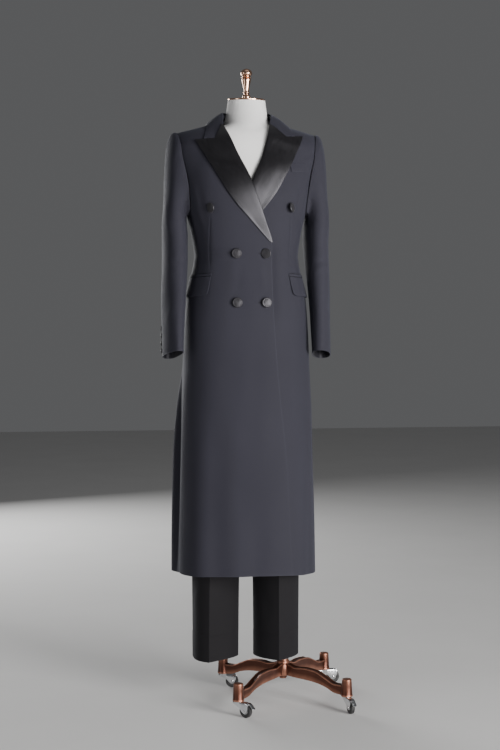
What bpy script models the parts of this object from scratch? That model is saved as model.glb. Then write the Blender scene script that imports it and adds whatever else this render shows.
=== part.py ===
"""A long double-breasted tuxedo coat with its trousers, worn by a limbless dress form on a castor base.

Frame: metres, +Z up, the fronts face -Y, +X is the wearer's left. The root empty is moved at the end so that the
middle of the whole object's footprint lies on X = Y = 0 and the castor wheels stand on Z = 0.
Angles round the body start at centre front, grow towards +X and reach 180 degrees at centre back.
"""

import math
from collections import namedtuple

import bmesh
import bpy
from mathutils import Matrix, Vector

# --- Driving dimensions ---------------------------------------------------------------------------------------------
CLOTH = 0.002
SEAM = 0.0003
SEAT = 0.0005
FRONT_LIFT = 0.0036
LAPEL_LIFT = 0.0042

COAT_HEM = 0.362
ARMPIT = 1.365
SHOULDER_END_X = 0.200
NECK_POINT_X = 0.070
SHOULDER_SEAM_Y = 0.005
CAP_HEIGHT_NECK = 0.085
CAP_HEIGHT_END = 0.060
BACK_NECK_CAP = math.radians(35.0)
SIDE_SEAM = 72.0
BACK_SEAM = 110.0
FRONT_SQUARENESS = 2.5
BREAK_Z = 1.275
CAP_LEVEL = 1.530

SHANK_RADIUS = 0.003

CUFF_SLOPE = 0.23

WAISTBAND_TOP = 1.125
WAISTBAND_BOTTOM = 1.0870
CROTCH_Z = 0.865
TROUSER_HEM = 0.120

FORM_BOTTOM = 0.985
NECK_TOP = 1.692
NECK_PLATE_RADIUS = 0.0525
NECK_PLATE_THICKNESS = 0.005
POLE_RADIUS = 0.0125

HUB_X = 0.1015
HUB_Y = -0.032
HUB_TOP = 0.113
HUB_BOTTOM = 0.067
ARM_REACH = 0.212
ARM_HEADINGS = {"front_left": -134.0, "front_right": -44.0, "back_right": 46.0, "back_left": 136.0}
BOSS_TOP = 0.0885
BOSS_BOTTOM = 0.0410
WHEEL_RADIUS = 0.0185
WHEEL_WIDTH = 0.0110
WHEEL_SEGMENTS = 16
TRAIL = 0.026

# --- Tables: one row for each section -------------------------------------------------------------------------------
# Coat body: height, half width in front of the side-back seam and behind it, depth of front and back, how square the
# back half is, and how deep the pressed fold along the side-back seam lies.
Section = namedtuple("Section", "z width back_width front back square fold")
COAT = (
    Section(0.362, 0.1940, 0.2050, 0.145, 0.176, 3.4, 0.0045),
    Section(0.480, 0.1920, 0.2050, 0.143, 0.175, 3.4, 0.0075),
    Section(0.650, 0.1885, 0.2030, 0.140, 0.171, 3.4, 0.0105),
    Section(0.820, 0.1845, 0.1960, 0.136, 0.160, 3.3, 0.0090),
    Section(0.940, 0.1785, 0.1830, 0.132, 0.149, 3.0, 0.0015),
    Section(1.050, 0.1740, 0.1740, 0.127, 0.138, 2.7, 0.0),
    Section(1.120, 0.1690, 0.1690, 0.123, 0.122, 2.5, 0.0),
    Section(1.190, 0.1565, 0.1565, 0.118, 0.105, 2.5, 0.0),
    Section(1.245, 0.1465, 0.1465, 0.116, 0.097, 2.5, 0.0),
    Section(1.310, 0.1545, 0.1545, 0.122, 0.102, 2.5, 0.0),
    Section(1.365, 0.1670, 0.1670, 0.130, 0.111, 2.5, 0.0),
    Section(1.420, 0.1790, 0.1790, 0.132, 0.119, 2.5, 0.0),
    Section(1.480, 0.1930, 0.1930, 0.124, 0.121, 2.5, 0.0),
    Section(1.530, 0.2070, 0.2070, 0.108, 0.112, 2.5, 0.0),
    Section(1.600, 0.2070, 0.2070, 0.092, 0.098, 2.5, 0.0),
)

# Shoulder line: height of the seam at each distance from the middle.
Ridge = namedtuple("Ridge", "x z")
SHOULDER = (
    Ridge(0.000, 1.6450),
    Ridge(0.065, 1.6400),
    Ridge(0.100, 1.6220),
    Ridge(0.120, 1.6155),
    Ridge(0.160, 1.6045),
    Ridge(0.200, 1.5935),
    Ridge(0.220, 1.5870),
)

# Armhole edge in front and behind, as angles round the body.
Armhole = namedtuple("Armhole", "z front back")
ARMHOLE = (
    Armhole(1.378, SIDE_SEAM, BACK_SEAM),
    Armhole(1.405, 69.5, 110.5),
    Armhole(1.440, 68.0, 110.0),
    Armhole(1.480, 69.3, 108.7),
    Armhole(1.520, 71.3, 107.5),
)
ARMHOLE_CAP_FRONT = (72.5, 73.6, 75.2, 77.0, 79.0)
ARMHOLE_CAP_BACK = (106.5, 105.4, 104.0, 102.5, 101.0)

# Overlapping edge of the double-breasted front: its distance past the middle, from the hem to the neck. Above the
# break it is the line on which the lapel rolls over.
Edge = namedtuple("Edge", "z x")
FRONT_EDGE = (
    Edge(0.362, 0.1110),
    Edge(0.546, 0.1017),
    Edge(0.667, 0.0960),
    Edge(0.850, 0.0773),
    Edge(1.020, 0.0640),
    Edge(1.154, 0.0574),
    Edge(BREAK_Z, 0.0550),
    Edge(1.340, 0.0400),
    Edge(1.399, 0.0230),
    Edge(1.464, 0.0000),
    Edge(1.511, -0.0240),
    Edge(1.5675, -0.0480),
    Edge(1.6145, -0.0670),
    Edge(1.6400, -NECK_POINT_X),
)

# Lapel: the roll line's heights, the outer edge that faces each, and how far the row dips towards the notch.
LapelRow = namedtuple("LapelRow", "roll_z edge_x edge_z dip")
LAPEL = (
    LapelRow(1.284, -0.0470, 1.288, 0.0),
    LapelRow(1.310, -0.0240, 1.314, 0.0),
    LapelRow(1.345, 0.0080, 1.350, 0.0),
    LapelRow(1.385, 0.0380, 1.382, 0.0),
    LapelRow(1.430, 0.0690, 1.424, 0.0),
    LapelRow(1.475, 0.0930, 1.466, 0.0),
    LapelRow(1.515, 0.1130, 1.502, 0.0),
    LapelRow(1.545, 0.1270, 1.530, 0.001),
    LapelRow(1.568, 0.1355, 1.547, 0.004),
    LapelRow(1.590, 0.1430, 1.562, 0.009),
    LapelRow(1.612, 0.1500, 1.577, 0.0200),
)
NOTCH_SHARE = 0.42

# Across the lapel from the rolled edge: how far past the front's edge, and the height of both faces over the front.
LapelColumn = namedtuple("LapelColumn", "share past outer inner")
LAPEL_COLUMNS = (
    LapelColumn(0.00, 0.0036, -0.0010, -0.0010),
    LapelColumn(0.00, 0.0034, 0.0032, 0.0012),
    LapelColumn(0.07, 0.0, 0.0037, 0.0017),
    LapelColumn(0.19, 0.0, 0.0037, 0.0017),
    LapelColumn(0.31, 0.0, 0.0037, 0.0017),
    LapelColumn(NOTCH_SHARE, 0.0, 0.0037, 0.0017),
    LapelColumn(0.56, 0.0, 0.0037, 0.0017),
    LapelColumn(0.70, 0.0, 0.0037, 0.0017),
    LapelColumn(0.85, 0.0, 0.0037, 0.0017),
    LapelColumn(1.00, 0.0, 0.0037, 0.0017),
)

# Collar, from its front end (0) to the centre back (1): the crease on top and the free edge of the fall.
CollarStation = namedtuple("CollarStation", "share x y z edge_x edge_y")
COLLAR = (
    CollarStation(0.00, 0.0672, -0.0686, 1.6162, 0.1300, -0.0745),
    CollarStation(0.12, 0.0690, -0.0520, 1.6300, 0.1292, -0.0560),
    CollarStation(0.26, 0.0695, -0.0280, 1.6450, 0.1265, -0.0260),
    CollarStation(0.42, 0.0675, 0.0080, 1.6555, 0.1225, 0.0120),
    CollarStation(0.58, 0.0620, 0.0430, 1.6600, 0.1100, 0.0520),
    CollarStation(0.72, 0.0490, 0.0660, 1.6620, 0.0860, 0.0800),
    CollarStation(0.86, 0.0270, 0.0810, 1.6630, 0.0480, 0.0960),
    CollarStation(1.00, 0.0000, 0.0865, 1.6635, 0.0000, 0.1010),
)
GORGE_CORNER_X = 0.0990
GORGE_CORNER_Z = 1.5855
COLLAR_LIFT = 0.0033
STAND_INSET = 0.0012
STAND_DROP = 0.0054
STAND_GAP = 0.0011
STAND_RISE = 0.0014
STAND_CLOTH = 0.0018
STAND_SHARES = (0.26, 0.34, 0.42, 0.52, 0.62, 0.72, 0.82, 0.91, 1.0)
SHOULDER_SHARE = 0.42

# Sleeve below the armpit: centre, half width and half depth, and how far the arm has turned outwards.
SleeveRing = namedtuple("SleeveRing", "z x y width depth turn")
SLEEVE = (
    SleeveRing(1.335, 0.2030, 0.006, 0.0345, 0.076, 0.0),
    SleeveRing(1.290, 0.2015, 0.003, 0.0350, 0.074, 2.0),
    SleeveRing(1.240, 0.2025, -0.003, 0.0345, 0.072, 4.0),
    SleeveRing(1.185, 0.2050, -0.011, 0.0325, 0.070, 7.0),
    SleeveRing(1.125, 0.2075, -0.021, 0.0300, 0.067, 10.0),
    SleeveRing(1.065, 0.2085, -0.032, 0.0280, 0.063, 13.0),
    SleeveRing(1.015, 0.2085, -0.041, 0.0265, 0.060, 15.0),
    SleeveRing(0.972, 0.2080, -0.048, 0.0255, 0.058, 16.0),
)

# Trouser leg below the crotch: inner and outer side, middle of its depth and half depth at the creases.
LegRing = namedtuple("LegRing", "z inner outer y depth")
LEG = (
    LegRing(0.120, 0.0215, 0.1510, 0.000, 0.082),
    LegRing(0.240, 0.0205, 0.1510, 0.000, 0.084),
    LegRing(0.362, 0.0190, 0.1515, 0.001, 0.088),
    LegRing(0.550, 0.0140, 0.1530, 0.004, 0.096),
    LegRing(0.750, 0.0060, 0.1590, 0.008, 0.108),
    LegRing(CROTCH_Z, 0.0004, 0.1640, 0.010, 0.120),
)

# Neck of the form above the shoulders.
NeckRing = namedtuple("NeckRing", "z width depth y")
NECK = (
    NeckRing(1.624, 0.0592, 0.0595, 0.009),
    NeckRing(1.646, 0.0580, 0.0590, 0.010),
    NeckRing(1.662, 0.0565, 0.0582, 0.011),
    NeckRing(1.678, 0.0545, 0.0560, 0.011),
    NeckRing(NECK_TOP, 0.0525, 0.0525, 0.011),
)
NECK_Y = 0.011

# Finial, turned: height above the neck plate and radius.
Turned = namedtuple("Turned", "z r")
FINIAL = (
    Turned(0.0000, 0.0115),
    Turned(0.0090, 0.0112),
    Turned(0.0115, 0.0065),
    Turned(0.0175, 0.0092),
    Turned(0.0205, 0.0070),
    Turned(0.0360, 0.0095),
    Turned(0.0545, 0.0134),
    Turned(0.0565, 0.0110),
    Turned(0.0600, 0.0150),
    Turned(0.0630, 0.0112),
    Turned(0.0665, 0.0146),
    Turned(0.0710, 0.0166),
    Turned(0.0760, 0.0157),
    Turned(0.0815, 0.0112),
    Turned(0.0850, 0.0040),
)

# Base arm: share of the reach, with the heights of its top and underside.
ArmStation = namedtuple("ArmStation", "share top bottom")
ARM = (
    ArmStation(0.000, 0.1050, 0.0700),
    ArmStation(0.120, 0.1010, 0.0690),
    ArmStation(0.210, 0.0960, 0.0675),
    ArmStation(0.360, 0.0985, 0.0665),
    ArmStation(0.520, 0.0960, 0.0640),
    ArmStation(0.680, 0.0830, 0.0570),
    ArmStation(0.830, 0.0705, 0.0450),
    ArmStation(0.960, 0.0700, 0.0425),
)
ARM_RIDGE_WIDTH = 0.0100
ARM_WEB_WIDTH = 0.0070
ARM_RIDGE_DEPTH = 0.0045
ARM_RIDGE_RISE = 0.0015

WHITE_LINEN = (0.80, 0.79, 0.77, 1.0)
GREY_WOOL = (0.055, 0.060, 0.075, 1.0)
BLACK_WOOL = (0.022, 0.021, 0.024, 1.0)
SATIN = (0.045, 0.044, 0.050, 1.0)
COPPER = (0.36, 0.17, 0.11, 1.0)
ROSE_GOLD = (0.86, 0.55, 0.38, 1.0)
CHROME = (0.75, 0.76, 0.78, 1.0)
RUBBER = (0.02, 0.02, 0.02, 1.0)


# --- Small tools ----------------------------------------------------------------------------------------------------
def smooth_step(value, low, high):
    """0 below low, 1 above high and an even curve between; low may be the larger one."""
    share = min(max((value - low) / (high - low), 0.0), 1.0)
    return share * share * (3.0 - 2.0 * share)


def mix(a, b, share):
    return a + (b - a) * share


def curve_through(rows, column, value, key="z"):
    """One column of a table at this value of its key, on a smooth curve through the rows."""
    keys = [getattr(row, key) for row in rows]
    values = [getattr(row, column) for row in rows]
    if keys[0] > keys[-1]:
        keys.reverse()
        values.reverse()
    if value <= keys[0]:
        return values[0]
    if value >= keys[-1]:
        return values[-1]
    i = max(k for k in range(len(keys) - 1) if keys[k] <= value)
    slopes = [(values[k + 1] - values[k]) / (keys[k + 1] - keys[k]) for k in range(len(keys) - 1)]

    def tangent(k):
        if k == 0 or k == len(keys) - 1:
            return slopes[min(k, len(slopes) - 1)]
        if slopes[k - 1] * slopes[k] <= 0.0:
            return 0.0
        return 2.0 * slopes[k - 1] * slopes[k] / (slopes[k - 1] + slopes[k])

    span = keys[i + 1] - keys[i]
    t = (value - keys[i]) / span
    start = values[i] * (1 + 2 * t) * (1 - t) ** 2 + tangent(i) * span * t * (1 - t) ** 2
    end = values[i + 1] * t * t * (3 - 2 * t) - tangent(i + 1) * span * t * t * (1 - t)
    return start + end


def steps(start, end, count):
    return [mix(start, end, i / (count - 1)) for i in range(count)]


def material(name, colour, roughness, metallic=0.0):
    made = bpy.data.materials.new(name)
    made.use_nodes = True
    shader = made.node_tree.nodes["Principled BSDF"]
    shader.inputs["Base Color"].default_value = colour
    shader.inputs["Roughness"].default_value = roughness
    shader.inputs["Metallic"].default_value = metallic
    made.diffuse_color = colour
    return made


def add_object(name, points, faces, finish, sharp=40.0):
    """A named object from points and faces, its faces turned outwards and its round stretches shaded smooth."""
    mesh = bpy.data.meshes.new(name)
    mesh.from_pydata([tuple(point) for point in points], [], faces)
    shape = bmesh.new()
    shape.from_mesh(mesh)
    bmesh.ops.recalc_face_normals(shape, faces=shape.faces)
    shape.to_mesh(mesh)
    shape.free()
    mesh.shade_smooth()
    mesh.set_sharp_from_angle(angle=math.radians(sharp))
    mesh.materials.append(finish)
    made = bpy.data.objects.new(name, mesh)
    bpy.context.scene.collection.objects.link(made)
    made.parent = bpy.data.objects["tuxedo_on_form"]
    return made


def sheet_normals(sheet, round_rows):
    """The outward direction at each point of a grid, from its neighbours along the rows and across them."""
    rows = len(sheet)
    columns = len(sheet[0])
    normals = []
    for r in range(rows):
        line = []
        for c in range(columns):
            if round_rows:
                along = sheet[r][(c + 1) % columns] - sheet[r][(c - 1) % columns]
            else:
                along = sheet[r][min(c + 1, columns - 1)] - sheet[r][max(c - 1, 0)]
            across = sheet[min(r + 1, rows - 1)][c] - sheet[max(r - 1, 0)][c]
            line.append(along.cross(across).normalized())
        normals.append(line)
    return normals


def cloth_wall(name, outer, inner, finish, round_rows=False, sharp=40.0):
    """A closed wall of cloth between two grids of the same size. Rows may close on themselves, as round a tube."""
    rows = len(outer)
    columns = len(outer[0])
    points = [p for row in outer for p in row] + [p for row in inner for p in row]
    inside = rows * columns

    def at(r, c):
        return r * columns + c % columns

    faces = []
    spans = columns if round_rows else columns - 1
    for r in range(rows - 1):
        for c in range(spans):
            quad = (at(r, c), at(r, c + 1), at(r + 1, c + 1), at(r + 1, c))
            faces.append(quad)
            faces.append(tuple(inside + i for i in reversed(quad)))
    for c in range(spans):
        for r in (0, rows - 1):
            faces.append((at(r, c), at(r, c + 1), inside + at(r, c + 1), inside + at(r, c)))
    if not round_rows:
        for r in range(rows - 1):
            for c in (0, columns - 1):
                faces.append((at(r, c), at(r + 1, c), inside + at(r + 1, c), inside + at(r, c)))
    return add_object(name, points, faces, finish, sharp)


def cloth_from_sheet(name, sheet, finish, thickness=CLOTH, round_rows=False):
    """A wall whose outer side is this grid and whose inner side lies one thickness below it."""
    normals = sheet_normals(sheet, round_rows)
    inner = [
        [point - normal * thickness for point, normal in zip(line, ups)]
        for line, ups in zip(sheet, normals)
    ]
    return cloth_wall(name, sheet, inner, finish, round_rows)


def solid_of_rings(name, rings, finish, sharp=40.0):
    """A closed solid through rings of the same number of points, with a flat cap at each end."""
    count = len(rings[0])
    points = [p for ring in rings for p in ring]
    faces = []
    for r in range(len(rings) - 1):
        for c in range(count):
            d = (c + 1) % count
            faces.append((r * count + c, r * count + d, (r + 1) * count + d, (r + 1) * count + c))
    faces.append(tuple(range(count)))
    faces.append(tuple((len(rings) - 1) * count + c for c in range(count)))
    return add_object(name, points, faces, finish, sharp)


def turned_rings(profile, segments, first=0.0):
    """Rings of a turned shape about Z from (z, r) pairs, the first point at this share of a step."""
    rings = []
    for z, r in profile:
        angles = [2 * math.pi * (k + first) / segments for k in range(segments)]
        rings.append([Vector((r * math.cos(a), r * math.sin(a), z)) for a in angles])
    return rings


def placed(rings, place):
    return [[place @ point for point in ring] for ring in rings]


# --- The coat's body surface ----------------------------------------------------------------------------------------
def cap_base(x):
    """Height at which the shoulder starts to round over, at this distance from the middle."""
    ridge = curve_through(SHOULDER, "z", abs(x), key="x")
    return ridge - cap_height(x)


def cap_height(x):
    return mix(CAP_HEIGHT_NECK, CAP_HEIGHT_END, min(abs(x) / SHOULDER_END_X, 1.0))


def section_point(angle, z, with_fold=True):
    """Point of the level section at this height: a superellipse with separate front, back and side-back fold."""
    turn = math.radians(angle)
    sine = math.sin(turn)
    cosine = math.cos(turn)
    width = curve_through(COAT, "width", z)
    square = FRONT_SQUARENESS
    depth = curve_through(COAT, "front", z)
    if cosine < 0.0:
        square = curve_through(COAT, "square", z)
        depth = curve_through(COAT, "back", z)
        if with_fold:
            swell = curve_through(COAT, "back_width", z) - width
            width += swell * smooth_step(abs(angle), BACK_SEAM - 1.0, BACK_SEAM + 8.0)
    reach = ((abs(sine) / width) ** square + (abs(cosine) / depth) ** square) ** (-1.0 / square)
    x = reach * sine
    y = -reach * cosine
    if abs(angle) == 180.0:
        x = math.copysign(1e-6, angle)
    if with_fold:
        pinch = curve_through(COAT, "fold", z) * math.exp(-(((abs(angle) - BACK_SEAM) / 5.0) ** 2))
        x -= math.copysign(pinch, x)
    return x, y


def body_point(angle, height, with_fold=True):
    """Point of the coat's body. height is the level up to the shoulder's rounding and then the way round it."""
    x, y = section_point(angle, min(height, CAP_LEVEL), with_fold)
    base = cap_base(x)
    if height <= base:
        x, y = section_point(angle, height, with_fold)
        return Vector((x, y, height))
    x, y = section_point(angle, base, with_fold)
    turn = (height - base) / cap_height(x)
    z = base + cap_height(x) * math.sin(turn)
    return Vector((x, mix(SHOULDER_SEAM_Y, y, math.cos(turn)), z))


def body_normal(angle, height, with_fold=True):
    across = body_point(angle + 0.4, height, with_fold) - body_point(angle - 0.4, height, with_fold)
    up = body_point(angle, height + 0.0015, with_fold) - body_point(angle, height - 0.0015, with_fold)
    return across.cross(up).normalized()


def lifted(angle, height, lift, with_fold=True):
    return body_point(angle, height, with_fold) + body_normal(angle, height, with_fold) * lift


def cap_row_height(angle, share, back_neck=False):
    """Height coordinate on the shoulder's rounding, as a share of the way to the seam (or to the back neckline)."""
    x = section_point(angle, CAP_LEVEL)[0]
    top = math.pi / 2
    if back_neck:
        top = mix(BACK_NECK_CAP, top, min(abs(x) / NECK_POINT_X, 1.0) ** 2.2)
    return cap_base(x) + cap_height(x) * top * share


def angle_at(x, z):
    """Angle round the front at which the body reaches this X."""
    level = min(z, cap_base(x))
    share = min(abs(x) / curve_through(COAT, "width", level), 1.0)
    depth = curve_through(COAT, "front", level) * (1.0 - share ** FRONT_SQUARENESS) ** (1.0 / FRONT_SQUARENESS)
    return math.degrees(math.atan2(x, depth))


def cap_z(x, y):
    """Height of the shoulder's rounding above this place."""
    base = cap_base(x)
    back = y > SHOULDER_SEAM_Y
    share = min(abs(x) / curve_through(COAT, "width", base), 1.0)
    depth = curve_through(COAT, "back" if back else "front", base)
    full = depth * (1.0 - share ** FRONT_SQUARENESS) ** (1.0 / FRONT_SQUARENESS) * (1 if back else -1)
    part = min((y - SHOULDER_SEAM_Y) / (full - SHOULDER_SEAM_Y), 1.0)
    return base + cap_height(x) * math.sqrt(1.0 - part * part)


def height_of(x, z):
    """The height coordinate of body_point for a place at this level."""
    base = cap_base(x)
    if z <= base:
        return z
    return base + cap_height(x) * math.asin(min((z - base) / cap_height(x), 1.0))


LEVELS = (
    COAT_HEM, 0.45, 0.56, 0.68, 0.79, 0.87, 0.94, 1.00, 1.05, 1.10, 1.145,
    1.19, 1.23, 1.265, 1.30, 1.338, 1.378, 1.405, 1.44, 1.48, 1.515,
)
SIDE_TOP = 1.378
CAP_SHARES = (0.0, 0.26, 0.51, 0.76, 0.9989)
HALF_SEAM = math.degrees(0.5 * SEAM / 0.16)


def armhole_edge(z, side):
    return curve_through(ARMHOLE, side, z)


class Panel:
    """A body panel: rows of angles and heights, and the lift of its outer side. on() finds places on its faces."""

    def __init__(self, rows, lift):
        self.rows = rows
        self.lift = lift
        self.sheet = [[self.point(a, h, 0.0) for a, h in row] for row in rows]
        self.inner = [[self.point(a, h, -CLOTH) for a, h in row] for row in rows]

    def point(self, angle, height, up):
        """A place on the panel's face. At the centre back it keeps half a seam from the middle."""
        place = lifted(angle, height, self.lift(angle, height) + up)
        if abs(angle) == 180.0:
            place.x = math.copysign(0.5 * SEAM, angle)
        return place

    def on(self, angle, height, up):
        """The place on the panel's own flat faces at this angle and height, moved out by up."""
        def line(row):
            angles = [a for a, h in row]
            first, last = angles[0], angles[-1]
            share = min(max((angle - first) / (last - first), 0.0), 0.99999) * (len(row) - 1)
            c = int(share)
            return c, share - c

        heights = []
        for row in self.rows:
            c, part = line(row)
            heights.append(mix(row[c][1], row[c + 1][1], part))
        r = 0
        while r < len(heights) - 2 and heights[r + 1] < height:
            r += 1
        across = (height - heights[r]) / (heights[r + 1] - heights[r])
        across = min(max(across, 0.0), 1.0)
        ends = []
        for k in (r, r + 1):
            c, part = line(self.rows[k])
            ends.append(self.sheet[k][c].lerp(self.sheet[k][c + 1], part))
        return ends[0].lerp(ends[1], across) + body_normal(angle, height) * up


def row_of(edge_a, edge_b, columns, height_at):
    """Angles spread between two edges, a little closer at the second, each with its height."""
    return [(a, height_at(a)) for a in steps(edge_a, edge_b, columns)]


def over_front_lift(angle, height):
    """How far the overlapping front stands out from the front that it covers."""
    stacked = FRONT_LIFT * smooth_step(height, 1.60, 1.49)
    stacked += LAPEL_LIFT * smooth_step(height, 1.20, 1.27) * smooth_step(height, 1.56, 1.49)
    return stacked * smooth_step(abs(angle), 68.0, 44.0)


def flat_lift(angle, height):
    return 0.0


def front_panel_rows(side, columns):
    """Rows of a front from its front edge to the side seam and armhole. side is -1 for the wearer's right."""
    rows = []
    for z in LEVELS:
        inner = angle_at(curve_through(FRONT_EDGE, "x", z) * -side, z)
        outer = SIDE_SEAM - HALF_SEAM
        if z > SIDE_TOP:
            outer = armhole_edge(z, "front")
        rows.append(row_of(inner, side * outer, columns, lambda a, z=z: z))
    for share, outer in zip(CAP_SHARES, ARMHOLE_CAP_FRONT):
        z = mix(1.560, 1.640, math.sin(share * math.pi / 2))
        inner = angle_at(curve_through(FRONT_EDGE, "x", z) * -side, z)
        rows.append(row_of(inner, side * outer, columns, lambda a, s=share: cap_row_height(a, s)))
    return rows


def back_panel_rows(side, columns):
    rows = []
    for z in LEVELS:
        outer = BACK_SEAM + HALF_SEAM
        if z > SIDE_TOP:
            outer = armhole_edge(z, "back")
        rows.append(row_of(side * outer, side * 180.0, columns, lambda a, z=z: z))
    for share, outer in zip(CAP_SHARES, ARMHOLE_CAP_BACK):
        rows.append(
            row_of(side * outer, side * 180.0, columns, lambda a, s=share: cap_row_height(a, s, True))
        )
    return rows


def side_panel_rows(side, columns):
    first = side * (SIDE_SEAM + HALF_SEAM)
    last = side * (BACK_SEAM - HALF_SEAM)
    rows = [row_of(first, last, columns, lambda a, z=z: z) for z in LEVELS if z < SIDE_TOP]

    def top(angle):
        rise = abs(2.0 * abs(angle) - SIDE_SEAM - BACK_SEAM) / (BACK_SEAM - SIDE_SEAM)
        return mix(ARMPIT, SIDE_TOP, rise ** 1.6)

    rows.append(row_of(first, last, columns, top))
    return rows


def ordered(rows, side):
    """Rows run towards +X in front and towards -X behind, so that outward normals come out the same on both sides."""
    return rows if side > 0 else [list(reversed(row)) for row in rows]


def build_coat_body(wool):
    panels = {}
    for side, word, lift in ((-1, "right", over_front_lift), (1, "left", flat_lift)):
        panels["front_" + word] = Panel(ordered(front_panel_rows(side, 10), side), lift)
        panels["side_" + word] = Panel(ordered(side_panel_rows(side, 5), side), flat_lift)
        panels["back_" + word] = Panel(ordered(back_panel_rows(side, 8), side), flat_lift)
    for name, panel in panels.items():
        cloth_wall("coat_" + name, panel.sheet, panel.inner, wool)
    return panels


# --- Collar and lapels ----------------------------------------------------------------------------------------------
def front_place(panel, x, z, up):
    angle = angle_at(x, z)
    height = height_of(x, z)
    return lifted(angle, height, panel.lift(angle, height) + up)


def lapel_place(row, share, side):
    """X and Z of a lapel's point, share 0 on the roll line and 1 on the outer edge, for the side that it lies on."""
    roll_x = -curve_through(FRONT_EDGE, "x", row.roll_z)
    dip = row.dip * (share / NOTCH_SHARE if share < NOTCH_SHARE else (1.0 - share) / (1.0 - NOTCH_SHARE))
    return side * mix(roll_x, row.edge_x, share), mix(row.roll_z, row.edge_z, share) - dip


def build_lapel(name, panel, side, satin):
    """The lapel, folded over on the roll line. Its rolled edge wraps round the front's edge."""
    outer = []
    inner = []
    for row in LAPEL:
        edge_x, edge_z = lapel_place(row, 0.0, side)
        edge = front_place(panel, edge_x, edge_z, 0.0)
        ahead = (edge - front_place(panel, edge_x + side * 0.004, edge_z, 0.0)).normalized()
        top = []
        under = []
        for column in LAPEL_COLUMNS:
            x, z = lapel_place(row, column.share, side)
            top.append(front_place(panel, x, z, column.outer) + ahead * column.past)
            tucked = ahead * (column.past - (CLOTH if column.past > 0.0 else 0.0))
            under.append(front_place(panel, x, z, column.inner) + tucked)
        outer.append(top)
        inner.append(under)
    cloth_wall(name, outer, inner, satin)


def collar_station(share):
    values = [curve_through(COLLAR, column, share, key="share") for column in CollarStation._fields[1:]]
    x, y, z, edge_x, edge_y = values
    crease = Vector((x, y, z))
    edge = Vector((edge_x, edge_y, cap_z(edge_x, edge_y) + COLLAR_LIFT))
    return crease, edge


def collar_row(share):
    """One section of the collar's fall: over the crease, then down to the free edge, never under the shoulder."""
    crease, edge = collar_station(share)
    outwards = Vector((edge.x - crease.x, edge.y - crease.y, 0.0)).normalized()
    line = [crease - outwards * 0.0022 + Vector((0, 0, -0.0012)), crease.copy()]
    at_gorge = smooth_step(share, 0.12, 0.0)
    for part in (0.24, 0.50, 0.76, 1.0):
        point = crease.lerp(edge, part)
        floor = cap_z(point.x, point.y) + COLLAR_LIFT
        point.z = max(point.z + 0.004 * math.sin(math.pi * part), floor)
        if part == 0.50:
            corner_y = front_y(GORGE_CORNER_X, GORGE_CORNER_Z) - COLLAR_LIFT
            corner = Vector((GORGE_CORNER_X, corner_y, GORGE_CORNER_Z))
            point = point.lerp(corner, at_gorge)
        if part == 0.24:
            half = crease.lerp(Vector((GORGE_CORNER_X, line[0].y, GORGE_CORNER_Z)), 0.5)
            half.y = front_y(half.x, half.z) - COLLAR_LIFT
            point = point.lerp(half, at_gorge)
        line.append(point)
    return line


def front_y(x, z):
    return body_point(angle_at(x, z), height_of(x, z)).y


def mirrored(point):
    return Vector((-point.x, point.y, point.z))


def both_sides(rows):
    """Rows from the front end to the centre back, continued to the other front end by mirroring."""
    return [[mirrored(p) for p in row] for row in rows] + [row for row in reversed(rows[:-1])]


def build_collar(wool):
    shares = (0.0, 0.06, 0.13, 0.22, 0.32, 0.42, 0.52, 0.62, 0.72, 0.82, 0.91, 1.0)
    cloth_from_sheet("collar", both_sides([collar_row(share) for share in shares]), wool)
    stand = []
    for share in STAND_SHARES:
        crease, edge = collar_station(share)
        inwards = Vector((crease.x - edge.x, crease.y - edge.y, 0.0)).normalized()
        top = crease + inwards * STAND_INSET + Vector((0, 0, -STAND_DROP))
        foot = neckline(share) + inwards * STAND_GAP
        stand.append([foot, foot.lerp(top, 0.5), top])
    cloth_from_sheet("collar_stand", both_sides(stand), wool, thickness=STAND_CLOTH)


def neckline(share):
    """The coat's neckline below the collar, from the front edge (STAND_SHARES' first) to the centre back."""
    if share < SHOULDER_SHARE:
        z = mix(1.6280, 1.6400, (share - STAND_SHARES[0]) / (SHOULDER_SHARE - STAND_SHARES[0]))
        x = -curve_through(FRONT_EDGE, "x", z)
        y = mix(-0.028, SHOULDER_SEAM_Y, (share - STAND_SHARES[0]) / (SHOULDER_SHARE - STAND_SHARES[0]))
        return Vector((x, y, cap_z(x, y) + STAND_RISE))
    x = NECK_POINT_X * (1.0 - ((share - SHOULDER_SHARE) / (1.0 - SHOULDER_SHARE)) ** 1.4)
    turn = mix(BACK_NECK_CAP, math.pi / 2, min(x / NECK_POINT_X, 1.0) ** 2.2)
    base = cap_base(x)
    depth = curve_through(COAT, "back", base)
    y = mix(SHOULDER_SEAM_Y, depth, math.cos(turn))
    return Vector((x, y, base + cap_height(x) * math.sin(turn) + STAND_RISE))


# --- Sleeves --------------------------------------------------------------------------------------------------------
SLEEVE_POINTS = 20
UNDER_FIRST = 14
UNDER_LAST = 23


def even_points(line, count):
    """Points at even distances along a line of points, without its last one."""
    lengths = [0.0]
    for a, b in zip(line, line[1:]):
        lengths.append(lengths[-1] + (b - a).length)
    found = []
    for k in range(count):
        wanted = lengths[-1] * k / count
        i = max(j for j in range(len(line) - 1) if lengths[j] <= wanted)
        found.append(line[i].lerp(line[i + 1], (wanted - lengths[i]) / (lengths[i + 1] - lengths[i])))
    return found


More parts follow.
